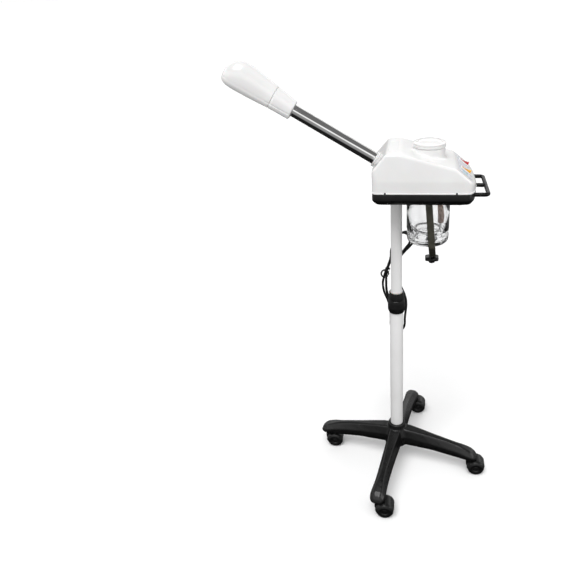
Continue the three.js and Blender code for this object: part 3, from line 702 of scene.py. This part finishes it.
def make_castor(k):
    name, wheels = f"castor_{k + 1}", f"wheels_{k + 1}"
    x, y = castor_place(k)
    hood = castor_hood((x, y, 0))
    hood.name = hood.data.name = f"{name}_dome"
    finish_piece(hood, name, "black_plastic", [f"{name}_hood"], bevel=0.3)
    for side, word in ((-1, "left"), (1, "right")):
        wheel = shifted(castor_wheel(side), x, y - CASTOR_TRAIL, WHEEL_RADIUS)
        piece(f"{name}_tyre_{word}", wheel, wheels, "wheel_black", [f"{name}_wheel_{word}"], sharp=40)
    stem_top = ARM_TIP_TOP - 5.3
    stem = shifted(turned([(0, 32), (4.5, 32, 1), (4.5, stem_top, 1), (0, stem_top)], 0.3, 32), x, y)
    piece(f"{name}_pin", stem, name, "steel", [f"{name}_stem"])
    axle = shifted(moved(rod(3, -17.6, 17.6, 0.4, 32), ALONG_X), x, y - CASTOR_TRAIL, WHEEL_RADIUS)
    piece(f"{name}_spindle", axle, wheels, "steel", [f"{name}_axle"])


def make_tubes():
    lower = pipe(LOWER_TUBE_RADIUS, 16.1, 66.3, 556, 0.5, 96)
    piece("lower_column", lower, "base", "white_paint", ["lower_tube"])
    upper = pipe(UPPER_TUBE_RADIUS, 12.6, 330, 850, 0.4, 96)
    piece("upper_column", upper, "mast", "white_paint", ["upper_tube"])
    bush = [(14.3, 530), (15.8, 530), (15.8, 556.3), (17.3, 556.3), (17.3, 560), (15.9, 560), (15.9, 569),
            (14.3, 569)]
    piece("guide_sleeve", turned(bush, 0.4, 96), "base", "nylon", ["guide_bush"])
    glide = [(0, 322), (15.8, 322), (15.8, 352), (14.3, 352), (14.3, 329.7), (0, 329.7)]
    piece("glide_cup", turned(glide, 0.4, 96), "mast", "nylon", ["tube_glide"])
    collar = [(17.8, 508), (19.9, 508, 1.5), (22.1, 514, 3), (22.8, 523, 6), (21.9, 537, 6),
              (20.9, 544.4, 0.3), (20.1, 545.0, 0.2), (20.1, 546.4, 0.2), (20.6, 547, 0.3), (18.8, 566, 0.8),
              (16.3, 566, 0.6), (16.3, 560.4), (17.8, 560.4)]
    body = bare_object("collar_body", turned(collar, 0.6, 96))
    screw = [(0, 17.9), (3.6, 17.9), (3.6, 20.9, 0.4), (2.7, 21.4, 0.3), (2.2, 20.7, 0.2), (0, 20.7)]
    facing_user_left = Matrix.Translation((0, 0, 538)) @ ALONG_X @ Matrix.Rotation(math.pi, 4, "X")
    combine(body, [moved(turned(screw, 0.2, 32), facing_user_left)], "UNION")
    finish_piece(body, "collar", "black_plastic", ["lock_collar"])


# -------------------- tray and cover
def head_outline(inset):
    """Plan of the tray and cover: square rear, tapering to chamfered corners and a bowed nose."""
    w, rear, nose = HEAD_HALF_WIDTH - inset, HEAD_REAR - inset, HEAD_NOSE + inset
    right = [(28, nose + 1.2, 60), (54, nose + 4.8, 60), (72, nose + 9, 24), (w - 2.5, nose + 16.5, 12),
             (w, nose + 30, 30), (w, rear, 13)]
    return rounded([*right, *[(-x, y, r) for x, y, r in reversed(right)]], steps=6)


def head_ring(inset, z):
    return [Vector((x, y, z)) for x, y in head_outline(inset)]


def make_tray():
    foot, rim = TRAY_BOTTOM, TRAY_TOP
    rows = [(11, foot), (8.8, foot + 0.2), (7.2, foot + 1.2), (1.3, foot + 8.4), (0.3, foot + 10.2),
            (0, foot + 12.5), (0, rim - 1.2), (0.5, rim - 0.2), (1.2, rim), (2.2, rim), (3, rim - 0.8),
            (3, foot + 13), (4, foot + 10.5), (10, foot + 5), (13, foot + 4)]
    made = bare_object("tray_shell", skin([head_ring(*row) for row in rows]))
    legs = [moved(pipe_room(5.3, 0, 60, 32), Matrix.Translation((x, -195, HANDLE_LEVEL)) @ ALONG_Y)
            for x in (-HANDLE_HALF_WIDTH, 0, HANDLE_HALF_WIDTH)]
    combine(made, [together(
        shifted(pipe_room(52.5, 815, 850, 96), 0, JAR_Y),
        pipe_room(14.7, 815, 850),
        shifted(pipe_room(6.2, 815, 850, 32), GLAND[0] / MM, GLAND[1] / MM),
        *legs,
    )])
    finish_piece(made, "head", "black_plastic", ["tray"], bevel=0.4)


def cover_block(name, inset, floor):
    """The cover's solid shape with sharp edges: side outline, front outline and plan, all intersected."""
    side = [
        (HEAD_NOSE + inset, floor), (HEAD_REAR - inset, floor), (HEAD_REAR - inset, 909 - inset / 2),
        (COVER_REAR[0] - inset / 2, COVER_REAR[1] - inset), (COVER_CREST[0], COVER_CREST[1] - inset),
        (PANEL_TOP[0] + inset / 4, PANEL_TOP[1] - inset),
        (PANEL_FOOT[0] + inset * 0.6, PANEL_FOOT[1] - inset * 0.9), (HEAD_NOSE + inset, 868 - inset / 2),
    ]
    w = HEAD_HALF_WIDTH - inset
    front = [(-w, floor), (w, floor), (w, 886), (w - 7.5, 940), (w - 9.5, 960), (9.5 - w, 960),
             (7.5 - w, 940), (-w, 886)]
    made = bare_object(name, moved(prism(side, -100, 100), YZ_TO_X))
    combine(made, [
        moved(prism(front, -80, 200), XZ_TO_Y),
        skin([head_ring(inset, floor - 1), head_ring(inset, 970)]),
    ], "INTERSECT")
    return made


def switch_room(x):
    return moved(block((-6, 6), (-13, 13), (-14, 9)), on_panel(x))


def make_cover():
    floor = TRAY_TOP + 0.3
    spare = 25
    made = cover_block("cover_shell", 0, floor - spare)
    combine(made, [shifted(rod(BOSS_RADIUS, 900, BOSS_TOP + 0.5, 0.2, 96), 0, JAR_Y)], "UNION")
    remesh(made, 1.3, 50)
    combine(made, [block((-100, 100), (-220, 100), (floor - 2 * spare, floor))])
    lip = [(1.0, 0), (-0.2, 0), (-0.8, 0.5), (-0.8, 3), (-0.3, 3.5), (1.5, 4)]
    combine(made, [skin([head_ring(inset, floor + above) for inset, above in lip])], "UNION")
    use_up(made, cover_block("cover_room", 3, TRAY_TOP - 2))
    notches = [block((side * 85 - 4, side * 85 + 4), (y - 2, y + 2), (floor - 1, floor + 4.2))
               for side in (-1, 1) for y in (22, -136)]
    boom_room = moved(pipe_room(14.5, -60, 30, 96), ON_BOOM)
    bore = shifted(pipe_room(32, 880, 960, 96), 0, JAR_Y)
    combine(made, [bore, boom_room, together(switch_room(-SWITCH_X), switch_room(SWITCH_X)),
                   together(*notches)])
    finish_piece(made, "head", "white_plastic", ["cover"], sharp=40)

    plate = rounded(rectangle((-48, 48), (-5, 17)), 6, 6)
    inside = rounded(rectangle((-46.8, 46.8), (-3.8, 15.8)), 5, 6)
    badge = outline_frame(inside, plate, 944.9, 946.3)
    piece("badge_outline", badge, "head", "white_plastic", bevel=0.25)


def make_cap():
    profile = [(0, 958.5), (29.5, 951), (29.5, 935), (31.5, 935, 0.4), (31.5, 946.1, 0.3), (37, 946.1, 0.6),
               (37.1, 950.6, 0.3), (36.1, 951.2, 0.2), (36.1, 952.2, 0.2), (37.1, 952.8, 0.3),
               (37, 955.6, 1.2), (30, 956.3, 0.6), (29, 955.4, 0.5), (28, 956, 0.6), (26, 958.4, 2),
               (18, 961, 12), (0, 962.4)]
    cap = shifted(turned(profile, 0.4, 128, 4), 0, JAR_Y)
    piece("steam_cap", cap, "cap", "white_plastic", ["chamber_cap"], sharp=50)


def make_handle():
    half, reach, bend, inside_tray = HANDLE_HALF_WIDTH, HANDLE_REACH, 9, -152
    left = arc((bend - half, reach + bend), bend, 180, 270, 8)
    right = arc((half - bend, reach + bend), bend, 270, 360, 8)
    route = [(-half, inside_tray), *left, *right, (half, inside_tray)]
    line = [Vector((x, y, HANDLE_LEVEL)) for x, y in route]
    made = bare_object("handle_bar", sweep(line, HANDLE_BAR_RADIUS, 28))
    middle_leg = [Vector((0, reach, HANDLE_LEVEL)), Vector((0, -168, HANDLE_LEVEL))]
    combine(made, [sweep(middle_leg, HANDLE_BAR_RADIUS - 0.05, 28)], "UNION")
    finish_piece(made, "head", "black_paint", ["front_handle"], sharp=50)


# -------------------- switch panel
def make_panel():
    w, h = PANEL_HALF_WIDTH, PANEL_HALF_HEIGHT
    outline = rounded(rectangle((-w, w), (-h, h)), 8, 8)
    plate = bare_object("panel_film", moved(prism(outline, 0.3, 1.1), on_panel(0)))
    combine(plate, [switch_room(-SWITCH_X), switch_room(SWITCH_X)])
    finish_piece(plate, "head", "panel_blue", ["panel_plate"], bevel=0.2)
    marks, pictures = [], []
    for side in (-1, 1):
        x = side * 51
        square = rounded(rectangle((x - 8, x + 8), (-6, 9)), 2, 4)
        pictures.append(prism(square, 1.0, 1.25))
        marks.append(ring_mark(x - 2.5 * side, 2.5, 3.4, 2.6))
        marks.append(block((x + 3, x + 4.2), (-2, 6), (1.2, 1.4)))
        marks += [bar_mark(x - 7 + 5 * k, -10.8, 3.6, 1.3) for k in range(3)]
        marks += [bar_mark(side * SWITCH_X - side * 11.5 - 2, y, 4, 1.5) for y in (-10, 9)]
    marks.append(border_mark(outline))
    for name, shapes, finish in (("panel_pictures", pictures, "print_teal"),
                                 ("panel_marks", marks, "print_white")):
        piece(name, moved(together(*shapes), on_panel(0)), "head", "panel_blue", finish=finish)


def bar_mark(x, y, width, height):
    return block((x, x + width), (y, y + height), (1.0, 1.22))


def ring_mark(x, y, outer, inner):
    return shifted(pipe(outer, inner, 1.2, 1.42, 0.02, 32, 1), x, y)


def border_mark(outline):
    def scaled(share_x, share_y):
        return [(x * share_x, y * share_y) for x, y in outline]
    return outline_frame(scaled(0.962, 0.88), scaled(0.972, 0.91), 1.0, 1.2)


def rocker_top(y):
    """Height of the rocker's dished top, whose lower end is the taller one."""
    along = y / ROCKER_HALF_LENGTH
    return 5.9 + 2.0 * along ** 2 - 1.6 * along


def make_switch(name, side, slot, body):
    place = on_panel(side * SWITCH_X)
    frame_outline = rounded(rectangle((-6.9, 6.9), (-14.6, 14.6)), 1.6, 5)
    bezel = bare_object("bezel", moved(prism(frame_outline, 1.4, 4.4), place))
    combine(bezel, [moved(block((-5.7, 5.7), (-12.7, 12.7), (-11, 2)), place)], "UNION")
    combine(bezel, [moved(block((-4.6, 4.6), (-11.8, 11.8), (-8, 5)), place)])
    bezel.name = f"{name}_frame"
    finish_piece(bezel, "head", "white_plastic", [f"{name}_bezel"], bevel=0.45)

    tilt = place @ Matrix.Rotation(-math.radians(ROCKER_TILT), 4, "X")
    end = ROCKER_HALF_LENGTH
    dip = [(y, rocker_top(y), 0) for y in (9.5, 7, 4.5, 2, 0, -2, -4.5, -7, -9.5)]
    outline = rounded([(-end, 1, 0), (-7, -1.5, 0), (7, -1.5, 0), (end, 1, 0), (end, rocker_top(end), 0.8),
                       *dip, (-end, rocker_top(-end), 0.8)], 0.5, 4)
    button = moved(prism(outline, -4.2, 4.2), tilt @ YZ_TO_X)
    piece(f"{name}_button", button, body, slot, [f"{name}_rocker"], bevel=0.35)
    mark_at = 6.6
    ring = pipe(1.9, 1.1, -0.2, 0.2, 0.03, 24, 1)
    bar = block((-0.35, 0.35), (-1.8, 1.8), (-0.2, 0.3))
    marks = together(shifted(ring, 0, mark_at, rocker_top(mark_at)),
                     shifted(bar, 0, -mark_at, rocker_top(-mark_at) + 0.1))
    piece(f"{name}_marks", moved(marks, tilt), body, slot, finish="print_white")


# -------------------- boom and nozzle
def nozzle_ring(along, low, high, half_width):
    """A section of the nozzle: domed above its widest level, flatter below, a groove just under it."""
    points, widest, groove, groove_half_width = 96, -6.0, 1.7, 1.5
    ring = []
    for k in range(points):
        angle = 2 * math.pi * k / points
        up = math.sin(angle)
        if up >= 0:
            height = widest + (high - widest) * up
            reach = half_width * math.copysign(abs(math.cos(angle)) ** 0.94, math.cos(angle))
        else:
            height = widest - (widest - low) * abs(up) ** 0.72
            reach = half_width * math.copysign(abs(math.cos(angle)) ** 0.62, math.cos(angle))
        from_groove = abs(height - widest + groove_half_width)
        depth = groove * max(0.0, 1 - from_groove / groove_half_width)
        reach -= math.copysign(min(depth, abs(reach)), reach)
        ring.append(Vector((reach, -height, along)))
    return ring


def make_boom():
    tube = moved(pipe(BOOM_RADIUS, 12.5, -61.7, 237.5, 0.4, 128), ON_BOOM)
    piece("boom_pipe", tube, "head", "chrome", ["boom_tube"])
    profile = [(14.4, -23), (20.6, -23), (20.4, -8, 1.5), (17.6, -4.6, 0.8), (17.6, -3.4, 0.5),
               (18.6, -2.9, 0.4), (18.6, 0, 0.8), (14.4, 0, 0.6)]
    collar = bare_object("boom_ring", moved(turned(profile, 0.5, 96), ON_BOOM))
    use_up(collar, cover_block("cover_outside", -0.25, TRAY_TOP))
    finish_piece(collar, "head", "white_plastic", ["boom_collar"], sharp=50)


def make_nozzle():
    # each row: distance along the boom, lowest, highest, half width
    neck_rows = [(216.3, -21.4, 21.4, 21.4), (228, -21.6, 23.4, 22.4), (246, -21.6, 26.6, 24.2),
                 (264.6, -21.6, 29.7, 25.6)]
    body = smooth_line([Vector(row) for row in neck_rows])
    neck_rows = [(215.5, -20.6, 20.6, 20.6), *body, (265.9, -20.3, 28.4, 24.3)]
    neck = bare_object("neck_shell", moved(skin([nozzle_ring(*row) for row in neck_rows]), ON_BOOM))
    combine(neck, [moved(together(pipe_room(14.4, 214, 238), pipe_room(12, 238.4, 270)), ON_BOOM)])
    finish_piece(neck, "head", "white_plastic", ["nozzle_neck"], sharp=50)

    head_rows = [(267.7, -21.7, 30, 25.9), (300, -23.8, 35.2, 28), (338, -25, 39.8, 29.4),
                 (355, -25.4, 39.9, 29.2), (367, -24.9, 35.6, 27.6), (376, -23.3, 28.2, 24.2),
                 (382.5, -20, 20, 19.5), (386.6, -14.5, 11, 13), (388.2, -8.5, 3, 6)]
    head_rows = [(266.3, -20.3, 28.4, 24.3), *smooth_line([Vector(row) for row in head_rows], pieces=5)]
    shell = bare_object("nozzle_shell", moved(skin([nozzle_ring(*row) for row in head_rows]), ON_BOOM))
    mouth_at, well_radius = 352, 18
    across = Matrix.Translation((0, 0, mouth_at)) @ ALONG_Y
    bands = [circle(well_radius * math.cos(math.radians(a)), well_radius * math.sin(math.radians(a)), 64)
             for a in range(-80, 81, 10)]
    well = skin([[Vector((0, 0, -well_radius))], *bands, [Vector((0, 0, well_radius))]])
    mouth = moved(pipe_room(15, 0, 42, 64), across)
    combine(shell, [moved(pipe_room(12, 260, 350, 64), ON_BOOM), moved(shifted(well, z=mouth_at), ON_BOOM),
                    moved(mouth, ON_BOOM)])
    finish_piece(shell, "nozzle", "white_plastic", ["nozzle_head"], sharp=40)

    grille = bare_object("grille_disc", moved(rod(14.4, 16, 18, 0.4, 64), ON_BOOM @ across))
    slots = [block((x - 1.5, x + 1.5), (-9.5, 9.5), (12, 22)) for x in (-8, 0, 8)]
    combine(grille, [moved(together(*slots), ON_BOOM @ across)])
    finish_piece(grille, "nozzle", "white_plastic", ["nozzle_grille"], bevel=0.25)


# -------------------- jar, heater and clamp
def make_jar():
    """A thick-based jar with a diamond pattern pressed into its foot."""
    diamonds_round, diamond_slope = 12, 0.22

    def wall(radius, z, pattern=0.0):
        def radius_at(angle):
            lines, shift = diamonds_round * angle, z * diamond_slope
            return radius + pattern * math.cos(lines + shift) * math.cos(lines - shift)
        return level_ring(radius_at, z, 144)

    outside = [wall(*row) for row in ((40, 714.2), (43, 713.1), (45.5, 713.3), (48, 715), (49.6, 718))]
    outside += [wall(50.4, 720 + 1.5 * k, 0.9 * math.sin(math.pi * k / 16)) for k in range(17)]
    outside += [wall(*row) for row in ((51.2, 748), (51.4, 790), (51.4, 822), (51.5, 826), (51.5, 834),
                                       (51, 834.5))]
    inside = [wall(*row) for row in ((49, 834.5), (48.5, 834), (48.4, 790), (48.2, 745))]
    inside += [wall(47.4, 744 - 1.5 * k, 0.6 * math.sin(math.pi * k / 11)) for k in range(12)]
    inside += [wall(*row) for row in ((45.5, 724), (42, 722.2), (30, 721.4))]
    jar = skin([[Vector((0, 0, 715))], *outside, *inside, [Vector((0, 0, 721))]])
    piece("water_jar", shifted(jar, 0, JAR_Y), "jar", "jar_glass", ["jar"], sharp=60)


def make_heater():
    radius, half_gap = HEATER_RADIUS, 4.4
    ring = [Vector((x, y, HEATER_LEVEL)) for x, y in arc((0, 0), radius, -80, 260, 40)]
    rise = [Vector((half_gap, -radius, z)) for z in (756.5, 752, 748)]
    fall = [Vector((-half_gap, -radius, z)) for z in (748, 752, 756.5)]
    line = [*rise, Vector((5, -radius, 743)), *ring[1:-1], Vector((-5, -radius, 743)), *fall]
    element = shifted(sweep(smooth_line(line, 2), 3.2, 20), 0, JAR_Y)
    piece("heater_rod", element, "head", "steel", ["heater_element"])
    sheath = turned([(0, 757), (7.5, 757, 1.2), (7.5, 790, 0.2), (7.2, 790.6, 0.2), (7.2, 792, 0.2),
                     (7.5, 792.6, 0.2), (7.5, 837), (0, 837)], 0.4, 48)
    piece("heater_cover", shifted(sheath, 0, JAR_Y - radius), "head", "sheath_steel", ["heater_sheath"])
    flange = pipe(55.5, 20, 837.3, 845, 0.6, 96)
    piece("jar_seat", shifted(flange, 0, JAR_Y), "head", "steel", ["jar_flange"])
    gasket = pipe(51, 43, 834.8, 837, 0.8, 96)
    piece("jar_seal", shifted(gasket, 0, JAR_Y), "head", "silicone", ["jar_gasket"])


def make_strap():
    """The bent strap that hangs under the jar, and the two bolts that hold its feet to the tray."""
    x, thick, top, foot_length = STRAP_HALF_WIDTH, 4, TRAY_BOTTOM - 0.3, 14
    outer, end = x + thick, x + foot_length
    outside = [(14, 673, 6), (outer, 716, 9), (outer, top - thick, 0.5), (end, top - thick, 1), (end, top, 0)]
    inside = [(x, top, 4), (x, 717.7, 5), (12.5, 677.5, 3)]

    def mirrored(half):
        return [(-across, z, corner) for across, z, corner in reversed(half)]
    outline = rounded([*mirrored(outside), *outside, *inside, *mirrored(inside)], 1, 5)
    slant = 0.085
    lean = Matrix(((1, 0, 0, 0), (0, 1, slant, -slant * TRAY_BOTTOM + JAR_Y), (0, 0, 1, 0), (0, 0, 0, 1)))
    strap = bare_object("jar_strap", moved(prism(outline, -8, 8), lean @ XZ_TO_Y))
    combine(strap, [shifted(pipe_room(4.7, 655, 700, 40), 0, CLAMP_Y)])
    finish_piece(strap, "head", "strap_paint", ["jar_bracket"], bevel=0.9)
    dome = turned([(0, 827.6), (1.5, 825.2, 1), (4, 825.6, 1.5), (5, 826.5), (0, 826.6)], 0.3, 32)
    bolts = [shifted(dome, side * (x + 8.5), JAR_Y) for side in (-1, 1)]
    piece("bracket_bolts", together(*bolts), "head", "steel")


def lobed(share, z):
    """A level of the clamp's knob, at a share of its full radius."""
    def radius_at(angle):
        return share * (KNOB_RADIUS + KNOB_LOBE_HEIGHT * math.cos(KNOB_LOBES * angle))
    return level_ring(radius_at, z, 144)


def make_clamp():
    make_strap()
    profile = [(0, 655), (3.1, 655), (4.0, 656)]
    pitch, thread_end, z = 1.25, 704, 657.0
    while z < thread_end:
        profile += [(4.0, z, 0.1), (3.35, z + 0.62, 0.1)]
        z += pitch
    profile += [(4.0, 705, 0.2), (4.0, 706, 0.3), (0, 706)]
    stud = shifted(turned(profile, 0.1, 32, 1), 0, CLAMP_Y)
    piece("clamp_stud", stud, "clamp_spindle", "steel", ["clamp_screw"])

    collar = [circle(radius, z, 144) for radius, z in ((7.2, 652), (8, 653), (8.2, 658.2))]
    grip = [lobed(*row) for row in ((0.86, 658.8), (0.97, 659.6), (1, 661), (1, 665.6), (0.97, 667),
                                    (0.88, 667.8), (0.3, 668))]
    knob = bare_object("clamp_wheel", shifted(skin([*collar, *grip]), 0, CLAMP_Y))
    combine(knob, [shifted(pipe_room(4.4, 654.7, 680, 40), 0, CLAMP_Y)])
    finish_piece(knob, "clamp_spindle", "black_plastic", ["clamp_knob"], sharp=40)
    pad = bare_object("jar_pad", shifted(rod(16, 704, 712.7, 1, 64), 0, CLAMP_Y))
    combine(pad, [shifted(pipe_room(4.4, 700, 706.3, 40), 0, CLAMP_Y)])
    finish_piece(pad, "clamp_foot", "rubber", ["pressure_pad"])


def finish_cad_nodes():
    """Every CAD node still shown keeps its shape and takes its slot's finish."""
    for entry in frame["record"]["subparts"]:
        made = NODES.get(entry["node"])
        if made is None or made.name not in bpy.data.objects:
            continue
        made.data.materials.clear()
        made.data.materials.append(FINISHES[entry["material_slot"]])
        made.data.shade_smooth()
        made.data.set_sharp_from_angle(angle=math.radians(32))


make_base()
for castor in range(ARMS):
    make_castor(castor)
make_tubes()
make_tray()
make_cover()
make_cap()
make_handle()
make_panel()
make_switch("lamp_switch", -1, "amber_plastic", "lamp_rocker")
make_switch("power_switch", 1, "red_plastic", "power_rocker")
make_boom()
make_nozzle()
make_jar()
make_heater()
make_clamp()
finish_cad_nodes()

# -------------------- stage
FLOOR_SIDE = 2000.0  # metres, so that its edge never shows
SKY = 0.58  # what matt surfaces receive from all round
SUN = 2.05
FILL = 12  # watts
REFLECTED = [  # height in the sky from 0 (straight down) to 1, and how bright shiny surfaces see it
    (0.24, 0.02), (0.34, 0.42), (0.60, 0.50), (0.66, 1.7), (0.75, 1.7), (0.80, 0.25),
]


def hang_light(data, at, towards):
    aim = (Vector(towards) - Vector(at)).to_track_quat("-Z", "Y")
    add_object(data.name, data).matrix_world = Matrix.Translation(at) @ aim.to_matrix().to_4x4()


def make_lights():
    sun = bpy.data.lights.new("sun", "SUN")
    sun.angle = math.radians(36)
    sun.energy = SUN
    hang_light(sun, (-0.65, 0.2, 1.3), (0, 0, 0))
    fill = bpy.data.lights.new("fill", "AREA")
    fill.shape = "RECTANGLE"
    fill.size = fill.size_y = 1.4
    fill.energy = FILL
    hang_light(fill, (-1.0, -2.4, 1.2), (0, 0, 0.6))


def make_sky():
    """White seen directly and through glass, softer on matt surfaces, in bands for shiny ones."""
    world = bpy.data.worlds.new("studio")
    world.use_nodes = True
    bpy.context.scene.world = world
    tree = world.node_tree
    link = tree.links.new
    place = add_node(tree, "TexCoord")
    split = add_node(tree, "SeparateXYZ")
    link(place.outputs["Generated"], split.inputs["Vector"])

    def math_node(operation, first, second, third=None):
        node = add_node(tree, "Math")
        node.operation = operation
        node.use_clamp = True
        for socket, value in zip(node.inputs, (first, second, third)):
            if isinstance(value, bpy.types.NodeSocket):
                link(value, socket)
            elif value is not None:
                socket.default_value = value
        return node.outputs["Value"]

    def choice(factor, otherwise, chosen):
        node = add_node(tree, "Mix")
        node.data_type = "RGBA"
        link(factor, node.inputs["Factor"])
        for name, value in (("A", otherwise), ("B", chosen)):
            if isinstance(value, bpy.types.NodeSocket):
                link(value, node.inputs[name])
            else:
                node.inputs[name].default_value = (*grey(value), 1)
        return node.outputs["Result"]

    ramp = add_node(tree, "ValToRGB")
    bands = ramp.color_ramp.elements
    for band, (where, brightness) in zip(bands, (REFLECTED[0], REFLECTED[-1])):
        band.position = where
        band.color = (*grey(brightness), 1)
    for where, brightness in REFLECTED[1:-1]:
        bands.new(where).color = (*grey(brightness), 1)
    link(math_node("MULTIPLY_ADD", split.outputs["Z"], 0.5, 0.5), ramp.inputs["Fac"])
    path = add_node(tree, "LightPath")
    mirrored = math_node("SUBTRACT", path.outputs["Is Glossy Ray"], path.outputs["Is Transmission Ray"])
    seen = math_node("ADD", path.outputs["Is Camera Ray"], path.outputs["Is Transmission Ray"])
    around = choice(mirrored, SKY, ramp.outputs["Color"])
    link(choice(seen, around, 1.0), tree.nodes["Background"].inputs["Color"])


def studio():
    bpy.context.scene.view_settings.view_transform = "Standard"
    half = FLOOR_SIDE / 2
    corners = [(-half, -half, 0), (half, -half, 0), (half, half, 0), (-half, half, 0)]
    mesh = bpy.data.meshes.new("floor")
    mesh.from_pydata(corners, [], [(0, 1, 2, 3)])
    floor = add_object("floor", mesh)
    floor.visible_glossy = False
    floor.visible_diffuse = False
    mesh.materials.append(material("floor", (grey(0.94), grey(0.95)), (0.8, 0.9), 2, [(40, 0.0002)]))
    make_sky()
    make_lights()


studio()
